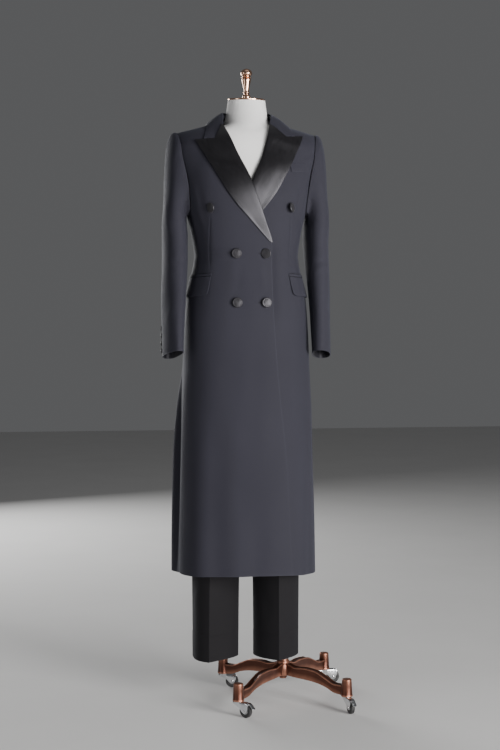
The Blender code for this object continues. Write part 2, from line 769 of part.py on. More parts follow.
def armhole_loop():
    """The armhole on the wearer's left, from its lowest point round the front, over the top and down the back."""
    lowest = (SIDE_SEAM + BACK_SEAM) / 2
    halves = []
    for side, seam, cap in (("front", SIDE_SEAM, ARMHOLE_CAP_FRONT), ("back", BACK_SEAM, ARMHOLE_CAP_BACK)):
        line = [body_point(mix(lowest, seam, s), mix(ARMPIT, SIDE_TOP, s ** 1.6)) for s in (0.0, 0.4, 0.75)]
        line += [body_point(armhole_edge(z, side), z) for z in LEVELS if z >= SIDE_TOP]
        line += [body_point(a, cap_row_height(a, share)) for a, share in zip(cap, CAP_SHARES)]
        line.append(Vector((line[-1].x, SHOULDER_SEAM_Y, line[-1].z)))
        halves.append(line)
    front = even_points(halves[0], SLEEVE_POINTS // 2)
    back = even_points(list(reversed(halves[1])), SLEEVE_POINTS // 2)
    return front + back


def sleeve_ring(z):
    """A level ring of the sleeve, its first point nearest the body and the next ones towards the front."""
    values = [curve_through(SLEEVE, column, z) for column in SleeveRing._fields[1:]]
    x, y, width, depth, turn = values
    ring = []
    for k in range(SLEEVE_POINTS):
        angle = 2 * math.pi * k / SLEEVE_POINTS
        across = math.copysign(abs(math.cos(angle)) ** 0.92, math.cos(angle)) * -width
        along = math.copysign(abs(math.sin(angle)) ** 0.92, math.sin(angle)) * -depth
        offset = Matrix.Rotation(math.radians(-turn), 3, "Z") @ Vector((across, along, 0.0))
        slope = CUFF_SLOPE * smooth_step(z, 1.08, SLEEVE[-1].z)
        ring.append(Vector((x, y, z)) + offset - Vector((0, 0, slope * offset.y)))
    return ring


def sleeve_sheet():
    """The outer side of the left sleeve: it leaves the armhole outwards, bends over the head and hangs down."""
    loop = armhole_loop()
    middle = sum(loop, Vector()) / len(loop)
    first = sleeve_ring(SLEEVE[0].z)
    rows = []
    for part in (0.0, 0.16, 0.34, 0.55, 0.78):
        row = []
        for edge, end in zip(loop, first):
            away = Vector((0.0, edge.y - middle.y, edge.z - middle.z)).normalized()
            start = edge + away * (CLOTH + 0.0034) + Vector((0.0008, 0.0, 0.0))
            drop = edge.z - end.z
            outwards = Vector((1.0, 0.15 * away.y, 0.22 * max(away.z, 0.0))) * (0.006 + 0.055 * drop)
            a = start.lerp(start + outwards, part)
            b = (start + outwards).lerp(end + Vector((0, 0, 0.55 * drop)), part)
            c = (end + Vector((0, 0, 0.55 * drop))).lerp(end, part)
            row.append(a.lerp(b, part).lerp(b.lerp(c, part), part))
        rows.append(row)
    rows += [sleeve_ring(ring.z) for ring in SLEEVE]
    return rows


def sleeve_piece(name, sheet, normals, first, last, side, wool):
    """The columns from first to last of a sleeve, drawn in at both seams."""
    outer = []
    inner = []
    for line, ups in zip(sheet, normals):
        points = [line[c % SLEEVE_POINTS] for c in range(first, last + 1)]
        lifts = [ups[c % SLEEVE_POINTS] for c in range(first, last + 1)]
        points[0] = points[0] + (points[1] - points[0]).normalized() * SEAM * 0.5
        points[-1] = points[-1] + (points[-2] - points[-1]).normalized() * SEAM * 0.5
        below = [p - n * CLOTH for p, n in zip(points, lifts)]
        if side < 0:
            points = [mirrored(p) for p in points]
            below = [mirrored(p) for p in below]
        outer.append(points)
        inner.append(below)
    cloth_wall(name, outer, inner, wool)


def build_sleeves(wool, satin):
    sheet = sleeve_sheet()
    normals = [[-n for n in line] for line in sheet_normals(sheet, True)]
    middle = sum(sheet[-1], Vector()) / SLEEVE_POINTS
    if normals[-1][0].dot(sheet[-1][0] - middle) < 0:
        normals = [[-n for n in line] for line in normals]
    for side, word in ((-1, "right"), (1, "left")):
        sleeve_piece("sleeve_top_" + word, sheet, normals, UNDER_LAST - SLEEVE_POINTS, UNDER_FIRST, side, wool)
        sleeve_piece("sleeve_under_" + word, sheet, normals, UNDER_FIRST, UNDER_LAST, side, wool)
        for k in range(4):
            z = 0.992 + 0.0185 * k
            ring = sleeve_ring(z)
            seat = ring[UNDER_FIRST - 1].lerp(ring[UNDER_FIRST], 0.35)
            way = (ring[UNDER_FIRST] - ring[UNDER_FIRST - 1]).cross(Vector((0, 0, 1)))
            way = -way.normalized() if way.dot(seat - middle) < 0 else way.normalized()
            if side < 0:
                seat = mirrored(seat)
                way = mirrored(way)
            build_button("cuff_button_%s_%d" % (word, k + 1), seat + way * 0.0009, way, CUFF_BUTTON, 8, satin)


# --- Buttons --------------------------------------------------------------------------------------------------------
FRONT_BUTTON = (
    Turned(0.0000, 0.0030), Turned(0.0036, 0.0030), Turned(0.0040, 0.0122), Turned(0.0062, 0.0140),
    Turned(0.0084, 0.0126), Turned(0.0096, 0.0072),
)
CUFF_BUTTON = (Turned(0.0000, 0.0060), Turned(0.0012, 0.0074), Turned(0.0026, 0.0074), Turned(0.0038, 0.0045))


def build_button(name, seat, way, profile, segments, satin):
    """A turned button whose shank or back stands at seat and whose face looks along way."""
    turn = way.to_track_quat("Z", "Y").to_matrix().to_4x4()
    place = Matrix.Translation(seat) @ turn
    solid_of_rings(name, placed(turned_rings(profile, segments), place), satin)


ButtonPlace = namedtuple("ButtonPlace", "name x z panel tilt")
BUTTONS = (
    ButtonPlace("button_1_right", -0.113, 1.379, "front_right", -24.0),
    ButtonPlace("button_1_left", 0.113, 1.379, "front_left", 30.0),
    ButtonPlace("button_2_right", -0.042, 1.253, "front_right", -3.0),
    ButtonPlace("button_2_left", 0.040, 1.253, "front_right", -16.0),
    ButtonPlace("button_3_right", -0.040, 1.117, "front_right", -4.0),
    ButtonPlace("button_3_left", 0.040, 1.117, "front_right", -4.0),
)


def build_buttons(panels, satin):
    for button in BUTTONS:
        panel = panels[button.panel]
        angle = angle_at(button.x, button.z)
        seat = panel.on(angle, button.z, 0.0)
        way = Matrix.Rotation(math.radians(button.tilt), 3, "Z") @ body_normal(angle, button.z)
        lean = abs(math.sin(math.radians(button.tilt))) * SHANK_RADIUS
        seat = seat + body_normal(angle, button.z) * (SEAT + lean)
        build_button(button.name, seat, way, FRONT_BUTTON, 14, satin)


# --- Pockets --------------------------------------------------------------------------------------------------------
Patch = namedtuple("Patch", "name x_top x_bottom far_angle top bottom far_drop outer")
POCKET_PATCHES = (
    Patch("flap", 0.108, 0.117, 99.0, 1.1900, 1.1360, 0.006, 0.0028),
    Patch("jet", 0.1065, 0.1065, 100.0, 1.1970, 1.1906, 0.005, 0.0018),
)


def patch_sheets(first_top, first_bottom, last, top, bottom, drop, side, lift, outer, columns, rows):
    """The two faces of a flat piece that lies on the body between two edges, lifted over what it lies on."""
    faces = ([], [])
    for part in steps(0.0, 1.0, rows):
        start = mix(first_bottom, first_top, part)
        for face, up in zip(faces, (outer, 0.0008)):
            line = []
            for share in steps(0.0, 1.0, columns):
                angle = side * mix(start, last, share)
                z = mix(bottom, top, part) - drop * share
                line.append(lifted(angle, z, lift(angle, z) + up))
            face.append(line if side > 0 else list(reversed(line)))
    return faces


def build_pockets(panels, wool):
    for side, word in ((-1, "right"), (1, "left")):
        lift = panels["front_" + word].lift
        for patch in POCKET_PATCHES:
            first_top = angle_at(patch.x_top, patch.top)
            first_bottom = angle_at(patch.x_bottom, patch.bottom)
            outer, inner = patch_sheets(
                first_top, first_bottom, patch.far_angle, patch.top, patch.bottom, patch.far_drop,
                side, lift, patch.outer, 9, 4 if patch.name == "flap" else 2,
            )
            cloth_wall("pocket_%s_%s" % (patch.name, word), outer, inner, wool)
    first = angle_at(0.1165, 1.500)
    last = angle_at(0.1640, 1.500)
    outer, inner = patch_sheets(first, first, last, 1.5010, 1.4790, -0.004, 1, flat_lift, 0.0024, 4, 3)
    cloth_wall("breast_welt", outer, inner, wool)


# --- Trousers -------------------------------------------------------------------------------------------------------
def leg_point(turn, z, crease_shift):
    """Point of a leg below the crotch. turn is 0 at the inseam, 90 at the front crease, 180 at the outer side."""
    values = [curve_through(LEG, column, z) for column in LegRing._fields[1:]]
    inner, outer, y, depth = values
    across = -math.cos(math.radians(turn))
    x = mix(inner, outer, 0.5 * (across + 1.0)) + crease_shift * (1.0 - across * across)
    side = -1.0 if turn < 180.0 else 1.0
    return Vector((x, y + side * depth * (1.0 - abs(across)) ** 0.55, z))


def seat_point(turn, z):
    """Point of the trousers' upper part, which follows the form inside the coat."""
    depth = mix(0.0125, 0.0050, smooth_step(z, 0.96, 1.08))
    angle = turn / 2.0 if turn <= 180.0 else 90.0 + (turn - 180.0) / 2.0
    return lifted(max(angle, 0.05), z, -depth, with_fold=False)


def trouser_point(turn, z, crease_shift):
    leg = smooth_step(z, 0.97, CROTCH_Z)
    if leg <= 0.0:
        return seat_point(turn, z)
    if leg >= 1.0:
        return leg_point(turn, z, crease_shift)
    return seat_point(turn, z).lerp(leg_point(turn, max(z, CROTCH_Z), crease_shift), leg)


TROUSER_LEVELS = (TROUSER_HEM, 0.19, 0.27, 0.38, 0.52, 0.66, 0.78, CROTCH_Z, 0.90, 0.935, 0.97, 1.03, 1.0862)
TROUSER_COLUMNS = 9
TROUSER_CLOTH = 0.0018


def trouser_rows(half, crease_shift):
    """Both faces of the left leg's front or back, from the inseam or the middle to the outer seam."""
    forward = -1.0 if half == "front" else 1.0
    outer = []
    for z in TROUSER_LEVELS:
        line = []
        for k in range(TROUSER_COLUMNS):
            turn = 180.0 * k / (TROUSER_COLUMNS - 1)
            shift = crease_shift * smooth_step(z, 0.8, 0.3)
            line.append(trouser_point(turn if half == "front" else 360.0 - turn, z, shift))
            line[-1].x = max(line[-1].x, 0.5 * SEAM)
        if z <= CROTCH_Z:
            line[0].y += forward * 0.5 * SEAM
        line[-1].y += forward * 0.5 * SEAM
        outer.append(line)
    normals = sheet_normals(outer, False)
    inner = []
    for z, line, ups in zip(TROUSER_LEVELS, outer, normals):
        below = [p + n * forward * TROUSER_CLOTH for p, n in zip(line, ups)]
        below[-1].y = line[-1].y
        if z <= CROTCH_Z:
            below[0].y = line[0].y
        else:
            below[0].x = line[0].x
        inner.append(below)
    return outer, inner


def build_trousers(wool):
    for side, word, shift in ((-1, "right", 0.020), (1, "left", -0.004)):
        for half in ("front", "back"):
            outer, inner = trouser_rows(half, shift)
            if side < 0:
                outer = [[mirrored(p) for p in row] for row in outer]
                inner = [[mirrored(p) for p in row] for row in inner]
            cloth_wall("trouser_%s_%s" % (half, word), outer, inner, wool)
    band = []
    for z in (WAISTBAND_BOTTOM, WAISTBAND_TOP):
        band.append([lifted(a, z, -0.0042, with_fold=False) for a in steps(-180.0, 172.5, 48)])
    cloth_from_sheet("waistband", band, wool, thickness=0.0030, round_rows=True)


# --- Dress form -----------------------------------------------------------------------------------------------------
FORM_LEVELS = (FORM_BOTTOM, 1.03, 1.075, 1.12, 1.17, 1.21, 1.26, 1.31, 1.365, 1.42, 1.47, 1.51)
FORM_POINTS = 26
FORM_GAP = 0.0036


def form_depth(z):
    """How far the form lies under the coat's outer side."""
    low = mix(0.0165, 0.0082, smooth_step(z, 1.04, 1.10))
    return mix(low, CLOTH + FORM_GAP, smooth_step(z, 1.40, 1.52))


def form_ring(z):
    return [lifted(a, z, -form_depth(z), with_fold=False) for a in form_angles()]


def form_angles():
    return [-180.0 + 360.0 * k / FORM_POINTS for k in range(FORM_POINTS)]


def neck_ring(ring):
    turns = [math.radians(a) for a in form_angles()]
    return [Vector((ring.width * math.sin(t), ring.y - ring.depth * math.cos(t), ring.z)) for t in turns]


def build_form(linen, gold, copper):
    rings = [form_ring(z) for z in FORM_LEVELS]
    base = neck_ring(NECK[0])
    top = [body_point(a, cap_base(section_point(a, CAP_LEVEL)[0]), False) for a in form_angles()]
    for share in (0.0, 0.25, 0.5, 0.72, 0.88):
        ring = []
        for start, end in zip(top, base):
            x = mix(start.x, end.x, share)
            y = mix(start.y, end.y, share)
            ring.append(Vector((x * 0.975, y * 0.955, cap_z(x, y) - (CLOTH + FORM_GAP + 0.0035 * share))))
        rings.append(ring)
    for ring in rings[-1:]:
        for point in ring:
            point.z = min(point.z, NECK[0].z - 0.005)
    rings += [neck_ring(ring) for ring in NECK]
    bottom = rings[0]
    for point in bottom:
        point.z = FORM_BOTTOM
    under = [Vector((p.x * 0.90, p.y * 0.88, p.z - 0.008)) for p in bottom]
    solid_of_rings("dress_form", [under] + rings, linen)
    place = Matrix.Translation((0.0, NECK_Y, NECK_TOP + SEAM))
    plate = ((0.0, NECK_PLATE_RADIUS), (0.0035, NECK_PLATE_RADIUS), (NECK_PLATE_THICKNESS, 0.0505))
    solid_of_rings("neck_plate", placed(turned_rings(plate, 28), place), copper)
    place = Matrix.Translation((0.0, NECK_Y, NECK_TOP + NECK_PLATE_THICKNESS + 2 * SEAM))
    solid_of_rings("finial", placed(turned_rings(FINIAL, 16), place), gold)


# --- Base and castors -----------------------------------------------------------------------------------------------
def arm_ring(station):
    """Section of an arm across its run: a web with a ridge along each upper edge."""
    ridge = ARM_RIDGE_WIDTH
    web = ARM_WEB_WIDTH
    top = station.top
    outline = (
        (-web, station.bottom), (web, station.bottom), (web, top - ARM_RIDGE_DEPTH), (ridge, top - 0.003),
        (ridge, top), (ridge - 0.003, top), (web - 0.002, top - ARM_RIDGE_RISE),
        (-web + 0.002, top - ARM_RIDGE_RISE), (-ridge + 0.003, top), (-ridge, top), (-ridge, top - 0.003),
        (-web, top - ARM_RIDGE_DEPTH),
    )
    reach = station.share * ARM_REACH
    return [Vector((reach, y, z)) for y, z in outline]


def build_base(copper, chrome):
    hub_place = Matrix.Translation((HUB_X, HUB_Y, 0.0))
    hub = (
        (0.0590, 0.0085), (0.0630, 0.0110), (HUB_BOTTOM, 0.0110), (HUB_BOTTOM, 0.0160), (0.0720, 0.0200),
        (0.1000, 0.0190), (0.1080, 0.0170), (HUB_TOP, 0.0150),
    )
    base = solid_of_rings("stand_base", placed(turned_rings(hub, 16), hub_place), copper)
    for name, heading in ARM_HEADINGS.items():
        place = hub_place @ Matrix.Rotation(math.radians(heading), 4, "Z")
        arm = solid_of_rings("arm_" + name, placed([arm_ring(s) for s in ARM], place), copper)
        boss_place = place @ Matrix.Translation((ARM_REACH, 0.0, 0.0))
        boss = ((BOSS_BOTTOM, 0.0160), (0.0460, 0.0160), (BOSS_TOP - 0.002, 0.0131), (BOSS_TOP, 0.0115))
        post = solid_of_rings("boss_" + name, placed(turned_rings(boss, 16), boss_place), copper)
        join_all(base, (arm, post))
    pole = ((HUB_TOP + SEAM, POLE_RADIUS), (FORM_BOTTOM - 0.008 - SEAM, POLE_RADIUS))
    solid_of_rings("pole", placed(turned_rings(pole, 20), hub_place), chrome)


def join_all(base, others):
    for other in others:
        join = base.modifiers.new("join_" + other.name, "BOOLEAN")
        join.operation = "UNION"
        join.object = other
        other.hide_render = True
        other.display_type = "WIRE"


# Castor, along its trail from the swivel's axis: underside of the cheeks, underside and top of the hood.
ForkStation = namedtuple("ForkStation", "x cheek under top")
FORK = (
    ForkStation(-0.0130, 0.0345, 0.0365, 0.0392),
    ForkStation(-0.0040, 0.0310, 0.0370, 0.0400),
    ForkStation(0.0100, 0.0235, 0.0378, 0.0400),
    ForkStation(0.0190, 0.0140, 0.0382, 0.0403),
    ForkStation(0.0260, 0.0115, 0.0384, 0.0406),
    ForkStation(0.0320, 0.0150, 0.0372, 0.0396),
    ForkStation(0.0370, 0.0240, 0.0345, 0.0372),
)
CASTOR_HEADINGS = {"front_left": -46.0, "front_right": -78.0, "back_right": 0.0, "back_left": -8.0}
BRAKED = ("front_left", "front_right")
FORK_HALF = 0.0084
FORK_SLOT = 0.0063
SWIVEL_PAD = ((0.0380, 0.0125), (0.0407, 0.0125))
PEDAL_PIVOT_X = 0.0340
PEDAL_PIVOT_Z = 0.0402
PEDAL_HALF = 0.0058
PEDAL_LINE = ((0.0340, 0.0402), (0.0415, 0.0385), (0.0480, 0.0320), (0.0545, 0.0265))
PEDAL_SHEET = 0.0009


def fork_ring(station):
    outline = (
        (-FORK_HALF, station.cheek), (-FORK_SLOT, station.cheek), (-FORK_SLOT, station.under),
        (FORK_SLOT, station.under), (FORK_SLOT, station.cheek), (FORK_HALF, station.cheek),
        (FORK_HALF, station.top - 0.0012), (FORK_HALF - 0.0016, station.top),
        (-FORK_HALF + 0.0016, station.top), (-FORK_HALF, station.top - 0.0012),
    )
    return [Vector((station.x, y, z)) for y, z in outline]


def pedal_rings():
    """A bent strip from the pivot over the wheel's outer side, as sections across its run."""
    rings = []
    for i, (x, z) in enumerate(PEDAL_LINE):
        x0, z0 = PEDAL_LINE[max(i - 1, 0)]
        x1, z1 = PEDAL_LINE[min(i + 1, len(PEDAL_LINE) - 1)]
        up = Vector((z0 - z1, 0.0, x1 - x0)).normalized() * PEDAL_SHEET
        middle = Vector((x, 0.0, z))
        side = Vector((0.0, PEDAL_HALF, 0.0))
        rings.append([middle - side - up, middle + side - up, middle + side + up, middle - side + up])
    return rings


def with_origin(made, place, at):
    """Puts the object's origin on its joint's axis, in the frame of place, and moves its mesh the other way."""
    joint = place @ Matrix.Translation(at)
    made.matrix_local = joint
    made.data.transform(joint.inverted())
    return made


def build_castors(chrome, rubber, copper):
    hub_place = Matrix.Translation((HUB_X, HUB_Y, 0.0))
    for name, heading in CASTOR_HEADINGS.items():
        arm = hub_place @ Matrix.Rotation(math.radians(ARM_HEADINGS[name]), 4, "Z")
        boss = arm @ Vector((ARM_REACH, 0.0, 0.0))
        place = Matrix.Translation(boss) @ Matrix.Rotation(math.radians(heading), 4, "Z")
        fork = solid_of_rings("castor_fork_" + name, placed([fork_ring(s) for s in FORK], place), chrome)
        pad = solid_of_rings("castor_pad_" + name, placed(turned_rings(SWIVEL_PAD, 16), place), chrome)
        fork = with_origin(fork, place, (0.0, 0.0, BOSS_BOTTOM))
        join_all(fork, (pad,))
        half = WHEEL_WIDTH / 2
        corner = WHEEL_RADIUS / math.cos(math.pi / WHEEL_SEGMENTS)
        tread = (
            (-half, corner - 0.0020), (-half + 0.0012, corner), (half - 0.0012, corner), (half, corner - 0.0020),
        )
        axle = place @ Matrix.Translation((TRAIL, 0.0, WHEEL_RADIUS)) @ Matrix.Rotation(math.pi / 2, 4, "X")
        wheel = solid_of_rings("castor_wheel_" + name, placed(turned_rings(tread, WHEEL_SEGMENTS, 0.5), axle), rubber)
        with_origin(wheel, place, (TRAIL, 0.0, WHEEL_RADIUS))
        if name in BRAKED:
            pedal = solid_of_rings("castor_pedal_" + name, placed(pedal_rings(), place), chrome)
            with_origin(pedal, place, (PEDAL_PIVOT_X, 0.0, PEDAL_PIVOT_Z))


# --- Scene ----------------------------------------------------------------------------------------------------------
def clear_scene():
    for item in list(bpy.data.objects):
        bpy.data.objects.remove(item, do_unlink=True)


def centre_on_floor(root):
    """Moves the whole object so that the middle of its box stands on the origin, with the castors on the floor."""
    bpy.context.view_layer.update()
    corners = []
    for item in root.children:
        if not item.hide_render:
            corners += [item.matrix_world @ vertex.co for vertex in item.data.vertices]
    low = [min(c[k] for c in corners) for k in range(3)]
    high = [max(c[k] for c in corners) for k in range(3)]
    root.location = (-(low[0] + high[0]) / 2, -(low[1] + high[1]) / 2, -low[2])


def main():
    clear_scene()
    root = bpy.data.objects.new("tuxedo_on_form", None)
    bpy.context.scene.collection.objects.link(root)
    wool = material("grey_wool", GREY_WOOL, 0.85)
    black = material("black_wool", BLACK_WOOL, 0.85)
    satin = material("satin", SATIN, 0.35)
    linen = material("white_linen", WHITE_LINEN, 0.9)
    copper = material("copper", COPPER, 0.4, 1.0)
    gold = material("rose_gold", ROSE_GOLD, 0.2, 1.0)
    chrome = material("chrome", CHROME, 0.15, 1.0)
    rubber = material("rubber", RUBBER, 0.6)
    panels = build_coat_body(wool)
    build_lapel("lapel_right", panels["front_right"], -1, satin)
    build_lapel("lapel_left", panels["front_left"], 1, satin)
    build_collar(wool)
    build_sleeves(wool, satin)
    build_buttons(panels, satin)
    build_pockets(panels, wool)
    build_trousers(black)
    build_form(linen, gold, copper)
    build_base(copper, chrome)
    build_castors(chrome, rubber, copper)
    centre_on_floor(root)


main()
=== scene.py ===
"""Looks of a long double-breasted tuxedo coat and trousers on a limbless dress form with a castor base.

Frame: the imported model's, metres, +Z up, the fronts face -Y, +X is the wearer's left. The tables and
the surface functions follow the part's source, in the garment's own frame, and add the uneven hang that
the photo shows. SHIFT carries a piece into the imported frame.
"""

import math
from collections import namedtuple

import bmesh
import bpy
import numpy as np
from mathutils import Matrix, Vector


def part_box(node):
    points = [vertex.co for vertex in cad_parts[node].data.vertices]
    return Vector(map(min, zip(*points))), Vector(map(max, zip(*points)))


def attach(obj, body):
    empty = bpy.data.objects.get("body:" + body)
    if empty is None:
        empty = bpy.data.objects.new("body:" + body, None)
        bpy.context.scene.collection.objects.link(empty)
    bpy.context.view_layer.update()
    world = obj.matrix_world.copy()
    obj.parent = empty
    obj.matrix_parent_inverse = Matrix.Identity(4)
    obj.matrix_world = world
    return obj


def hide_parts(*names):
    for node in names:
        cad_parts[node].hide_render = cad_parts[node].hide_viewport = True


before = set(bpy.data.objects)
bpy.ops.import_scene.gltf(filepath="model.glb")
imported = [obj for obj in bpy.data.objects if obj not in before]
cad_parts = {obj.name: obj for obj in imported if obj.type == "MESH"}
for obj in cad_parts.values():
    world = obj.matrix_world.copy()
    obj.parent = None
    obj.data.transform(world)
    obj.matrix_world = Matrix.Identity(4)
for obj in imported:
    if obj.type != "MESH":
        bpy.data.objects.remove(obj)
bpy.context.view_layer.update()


def table(columns, *rows, defaults=()):
    """Rows with named columns."""
    Row = namedtuple("Row", columns, defaults=defaults)
    return tuple(Row(*row) for row in rows)



# --- Driving dimensions ---
CLOTH = 0.002
SEAM = 0.0003
EDGE_ROUND = 0.0005
WALL_SHARP = 42.0
FRONT_LIFT = 0.0036
LAPEL_LIFT = 0.0042
COAT_HEM = 0.362
ARMPIT = 1.365
SHOULDER_END_X = 0.2
NECK_POINT_X = 0.07
SHOULDER_SEAM_Y = 0.005
CAP_HEIGHT_NECK = 0.085
CAP_HEIGHT_END = 0.06
BACK_NECK_CAP = math.radians(35.0)
BACK_NECK_POWER = 2.2
SIDE_SEAM = 72.0
BACK_SEAM = 110.0
BACK_FOLD_TURNS = 5.0
FRONT_SQUARENESS = 2.5
BREAK_Z = 1.275
CHEST_Z = 1.49
OVERLAP_TURNS = (68.0, 44.0)
CAP_LEVEL = 1.53
SHANK_RADIUS = 0.003
CUFF_SLOPE = 0.23
WAISTBAND_TOP = 1.125
WAISTBAND_BOTTOM = 1.087
CROTCH_Z = 0.865
TROUSER_HEM = 0.12
FORM_BOTTOM = 0.985
NECK_TOP = 1.692
NECK_PLATE_RADIUS = 0.0525
NECK_PLATE_THICKNESS = 0.005
POLE_RADIUS = 0.0125
HUB_X = 0.1015
HUB_Y = -0.032
HUB_TOP = 0.113
HUB_BOTTOM = 0.067
ARM_REACH = 0.212
ARM_HEADINGS = {"front_left": -134.0, "front_right": -44.0, "back_right": 46.0, "back_left": 136.0}
BOSS_TOP = 0.0885
BOSS_BOTTOM = 0.041
WHEEL_RADIUS = 0.0185
WHEEL_WIDTH = 0.011
TRAIL = 0.026
WEARER = "dressed_form"

pole_low, pole_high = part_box("pole")
SHIFT = Vector(((pole_low[0] + pole_high[0]) / 2 - HUB_X, (pole_low[1] + pole_high[1]) / 2 - HUB_Y, 0.0))

# --- Tables of sections, edges and profiles, after the part's source ---
COAT = table(
    "z width back_width front back square fold",
    (0.362, 0.194, 0.205, 0.145, 0.176, 3.4, 0.0045),
    (0.48, 0.192, 0.205, 0.143, 0.175, 3.4, 0.0075),
    (0.65, 0.1885, 0.203, 0.14, 0.171, 3.4, 0.0105),
    (0.82, 0.1845, 0.196, 0.136, 0.16, 3.3, 0.009),
    (0.94, 0.1785, 0.183, 0.132, 0.149, 3.0, 0.0015),
    (1.05, 0.174, 0.174, 0.127, 0.138, 2.7, 0.0),
    (1.12, 0.169, 0.169, 0.123, 0.122, 2.5, 0.0),
    (1.19, 0.1565, 0.1565, 0.118, 0.105, 2.5, 0.0),
    (1.245, 0.1465, 0.1465, 0.116, 0.097, 2.5, 0.0),
    (1.31, 0.1545, 0.1545, 0.122, 0.102, 2.5, 0.0),
    (1.365, 0.167, 0.167, 0.13, 0.111, 2.5, 0.0),
    (1.42, 0.179, 0.179, 0.132, 0.119, 2.5, 0.0),
    (1.48, 0.193, 0.193, 0.124, 0.121, 2.5, 0.0),
    (1.53, 0.207, 0.207, 0.108, 0.112, 2.5, 0.0),
    (1.6, 0.207, 0.207, 0.092, 0.098, 2.5, 0.0),
)
SHOULDER = table(
    "x z",
    (0.0, 1.645), (0.065, 1.64), (0.1, 1.622), (0.12, 1.6155), (0.16, 1.6045), (0.2, 1.5935), (0.22, 1.587),
)
ARMHOLE = table(
    "z front back",
    (1.378, SIDE_SEAM, BACK_SEAM), (1.405, 69.5, 110.5), (1.44, 68.0, 110.0), (1.48, 69.3, 108.7),
    (1.52, 71.3, 107.5),
)
ARMHOLE_CAP = table(
    "share front back",
    (0.0, 72.5, 106.5), (0.26, 73.6, 105.4), (0.51, 75.2, 104.0), (0.76, 77.0, 102.5), (0.9989, 79.0, 101.0),
)
FRONT_EDGE = table(
    "z x",
    (0.362, 0.111), (0.546, 0.1017), (0.667, 0.096), (0.85, 0.0773), (1.02, 0.064), (1.154, 0.0574),
    (BREAK_Z, 0.055), (1.34, 0.0355), (1.399, 0.016), (1.464, -0.0065), (1.511, -0.029), (1.5675, -0.0505),
    (1.6145, -0.068), (1.64, -NECK_POINT_X),
)
# How far the neckline sits to the wearer's right of the even garment, on each front.
NECKLINE_LEAN = table(
    "z right left",
    (BREAK_Z, 0.0, 0.0), (1.34, -0.001, 0.0), (1.399, -0.002, 0.0), (1.464, -0.004, 0.0),
    (1.511, -0.005, 0.0002), (1.5675, -0.0055, 0.004), (1.6145, -0.0075, 0.0095), (1.64, -0.0025, 0.003),
)
LAPEL = table(
    "roll_z edge_x edge_z dip",
    (1.284, -0.047, 1.288, 0.0), (1.31, -0.024, 1.314, 0.0), (1.345, 0.008, 1.35, 0.0),
    (1.385, 0.038, 1.382, 0.0), (1.43, 0.069, 1.424, 0.0), (1.475, 0.093, 1.466, 0.0),
    (1.515, 0.113, 1.502, 0.0), (1.545, 0.127, 1.53, 0.001), (1.568, 0.1355, 1.547, 0.004),
    (1.59, 0.143, 1.562, 0.009), (1.612, 0.15, 1.577, 0.02),
)
NOTCH_SHARE = {"right": 0.3, "left": 0.47}
# How far each peak is worn above its plain place, and how much deeper its notch then sits.
PEAK_RISE = {"right": (-0.011, 0.008), "left": (0.003, 0.0)}
COLLAR = table(
    "share x y z edge_x edge_y",
    (0.0, 0.0672, -0.0686, 1.6162, 0.129, -0.082),
    (0.12, 0.069, -0.052, 1.63, 0.1205, -0.059),
    (0.26, 0.0695, -0.028, 1.645, 0.115, -0.027),
    (0.42, 0.0675, 0.008, 1.6555, 0.113, 0.011),
    (0.58, 0.062, 0.043, 1.66, 0.104, 0.049),
    (0.72, 0.049, 0.066, 1.662, 0.083, 0.0775),
    (0.86, 0.027, 0.081, 1.663, 0.047, 0.0945),
    (1.0, 0.0, 0.0865, 1.6635, 0.0, 0.1),
)
COLLAR_LIFT = 0.0033
# The collar's front end lies against the lapel's gorge and peak: across the fronts and up, from the crease out.
GORGE_END = table(
    "part right left",
    (0.24, (0.086, 1.594), (0.08, 1.598)), (0.5, (0.0985, 1.5735), (0.101, 1.58)),
    (0.76, (0.1145, 1.5715), (0.115, 1.5815)), (1.0, (0.13, 1.57), (0.129, 1.583)),
)
GORGE_LIFT = {"right": 0.0012, "left": 0.0004}
CREASE_LEAN = {"right": 0.0065, "left": -0.008}
FOLD_IN, FOLD_DOWN = 0.0022, 0.0012
STAND_INSET = 0.0012
STAND_DROP = 0.0054
STAND_GAP = 0.0011
STAND_RISE = 0.0014
STAND_CLOTH = 0.0018
STAND_FIRST = 0.26
SHOULDER_SHARE = 0.42
SLEEVE = table(
    "z x y width depth turn",
    (1.335, 0.203, 0.006, 0.0345, 0.076, 0.0), (1.29, 0.2015, 0.003, 0.035, 0.074, 2.0),
    (1.24, 0.2025, -0.003, 0.0345, 0.072, 4.0), (1.185, 0.205, -0.011, 0.0325, 0.07, 7.0),
    (1.125, 0.2075, -0.021, 0.03, 0.067, 10.0), (1.065, 0.2085, -0.032, 0.028, 0.063, 13.0),
    (1.015, 0.2085, -0.041, 0.0265, 0.06, 15.0), (0.972, 0.208, -0.048, 0.0255, 0.058, 16.0),
)
LEG = table(
    "z inner outer y depth",
    (0.12, 0.0215, 0.151, 0.0, 0.082), (0.24, 0.0205, 0.151, 0.0, 0.084),
    (0.362, 0.019, 0.1515, 0.001, 0.088), (0.55, 0.014, 0.153, 0.004, 0.096),
    (0.75, 0.006, 0.159, 0.008, 0.108), (CROTCH_Z, 0.0004, 0.164, 0.01, 0.12),
)
NECK = table(
    "z width front back",
    (1.618, 0.066, 0.083, 0.0655), (1.628, 0.0632, 0.077, 0.063), (1.638, 0.0607, 0.0718, 0.061),
    (1.65, 0.0583, 0.0666, 0.059), (1.664, 0.0565, 0.0617, 0.0575), (1.678, 0.0547, 0.0571, 0.0555),
    (NECK_TOP, 0.053, 0.053, 0.053),
)
NECK_TILT = math.radians(5.0)
NECK_LEAN = 0.003
NECK_Y = 0.011
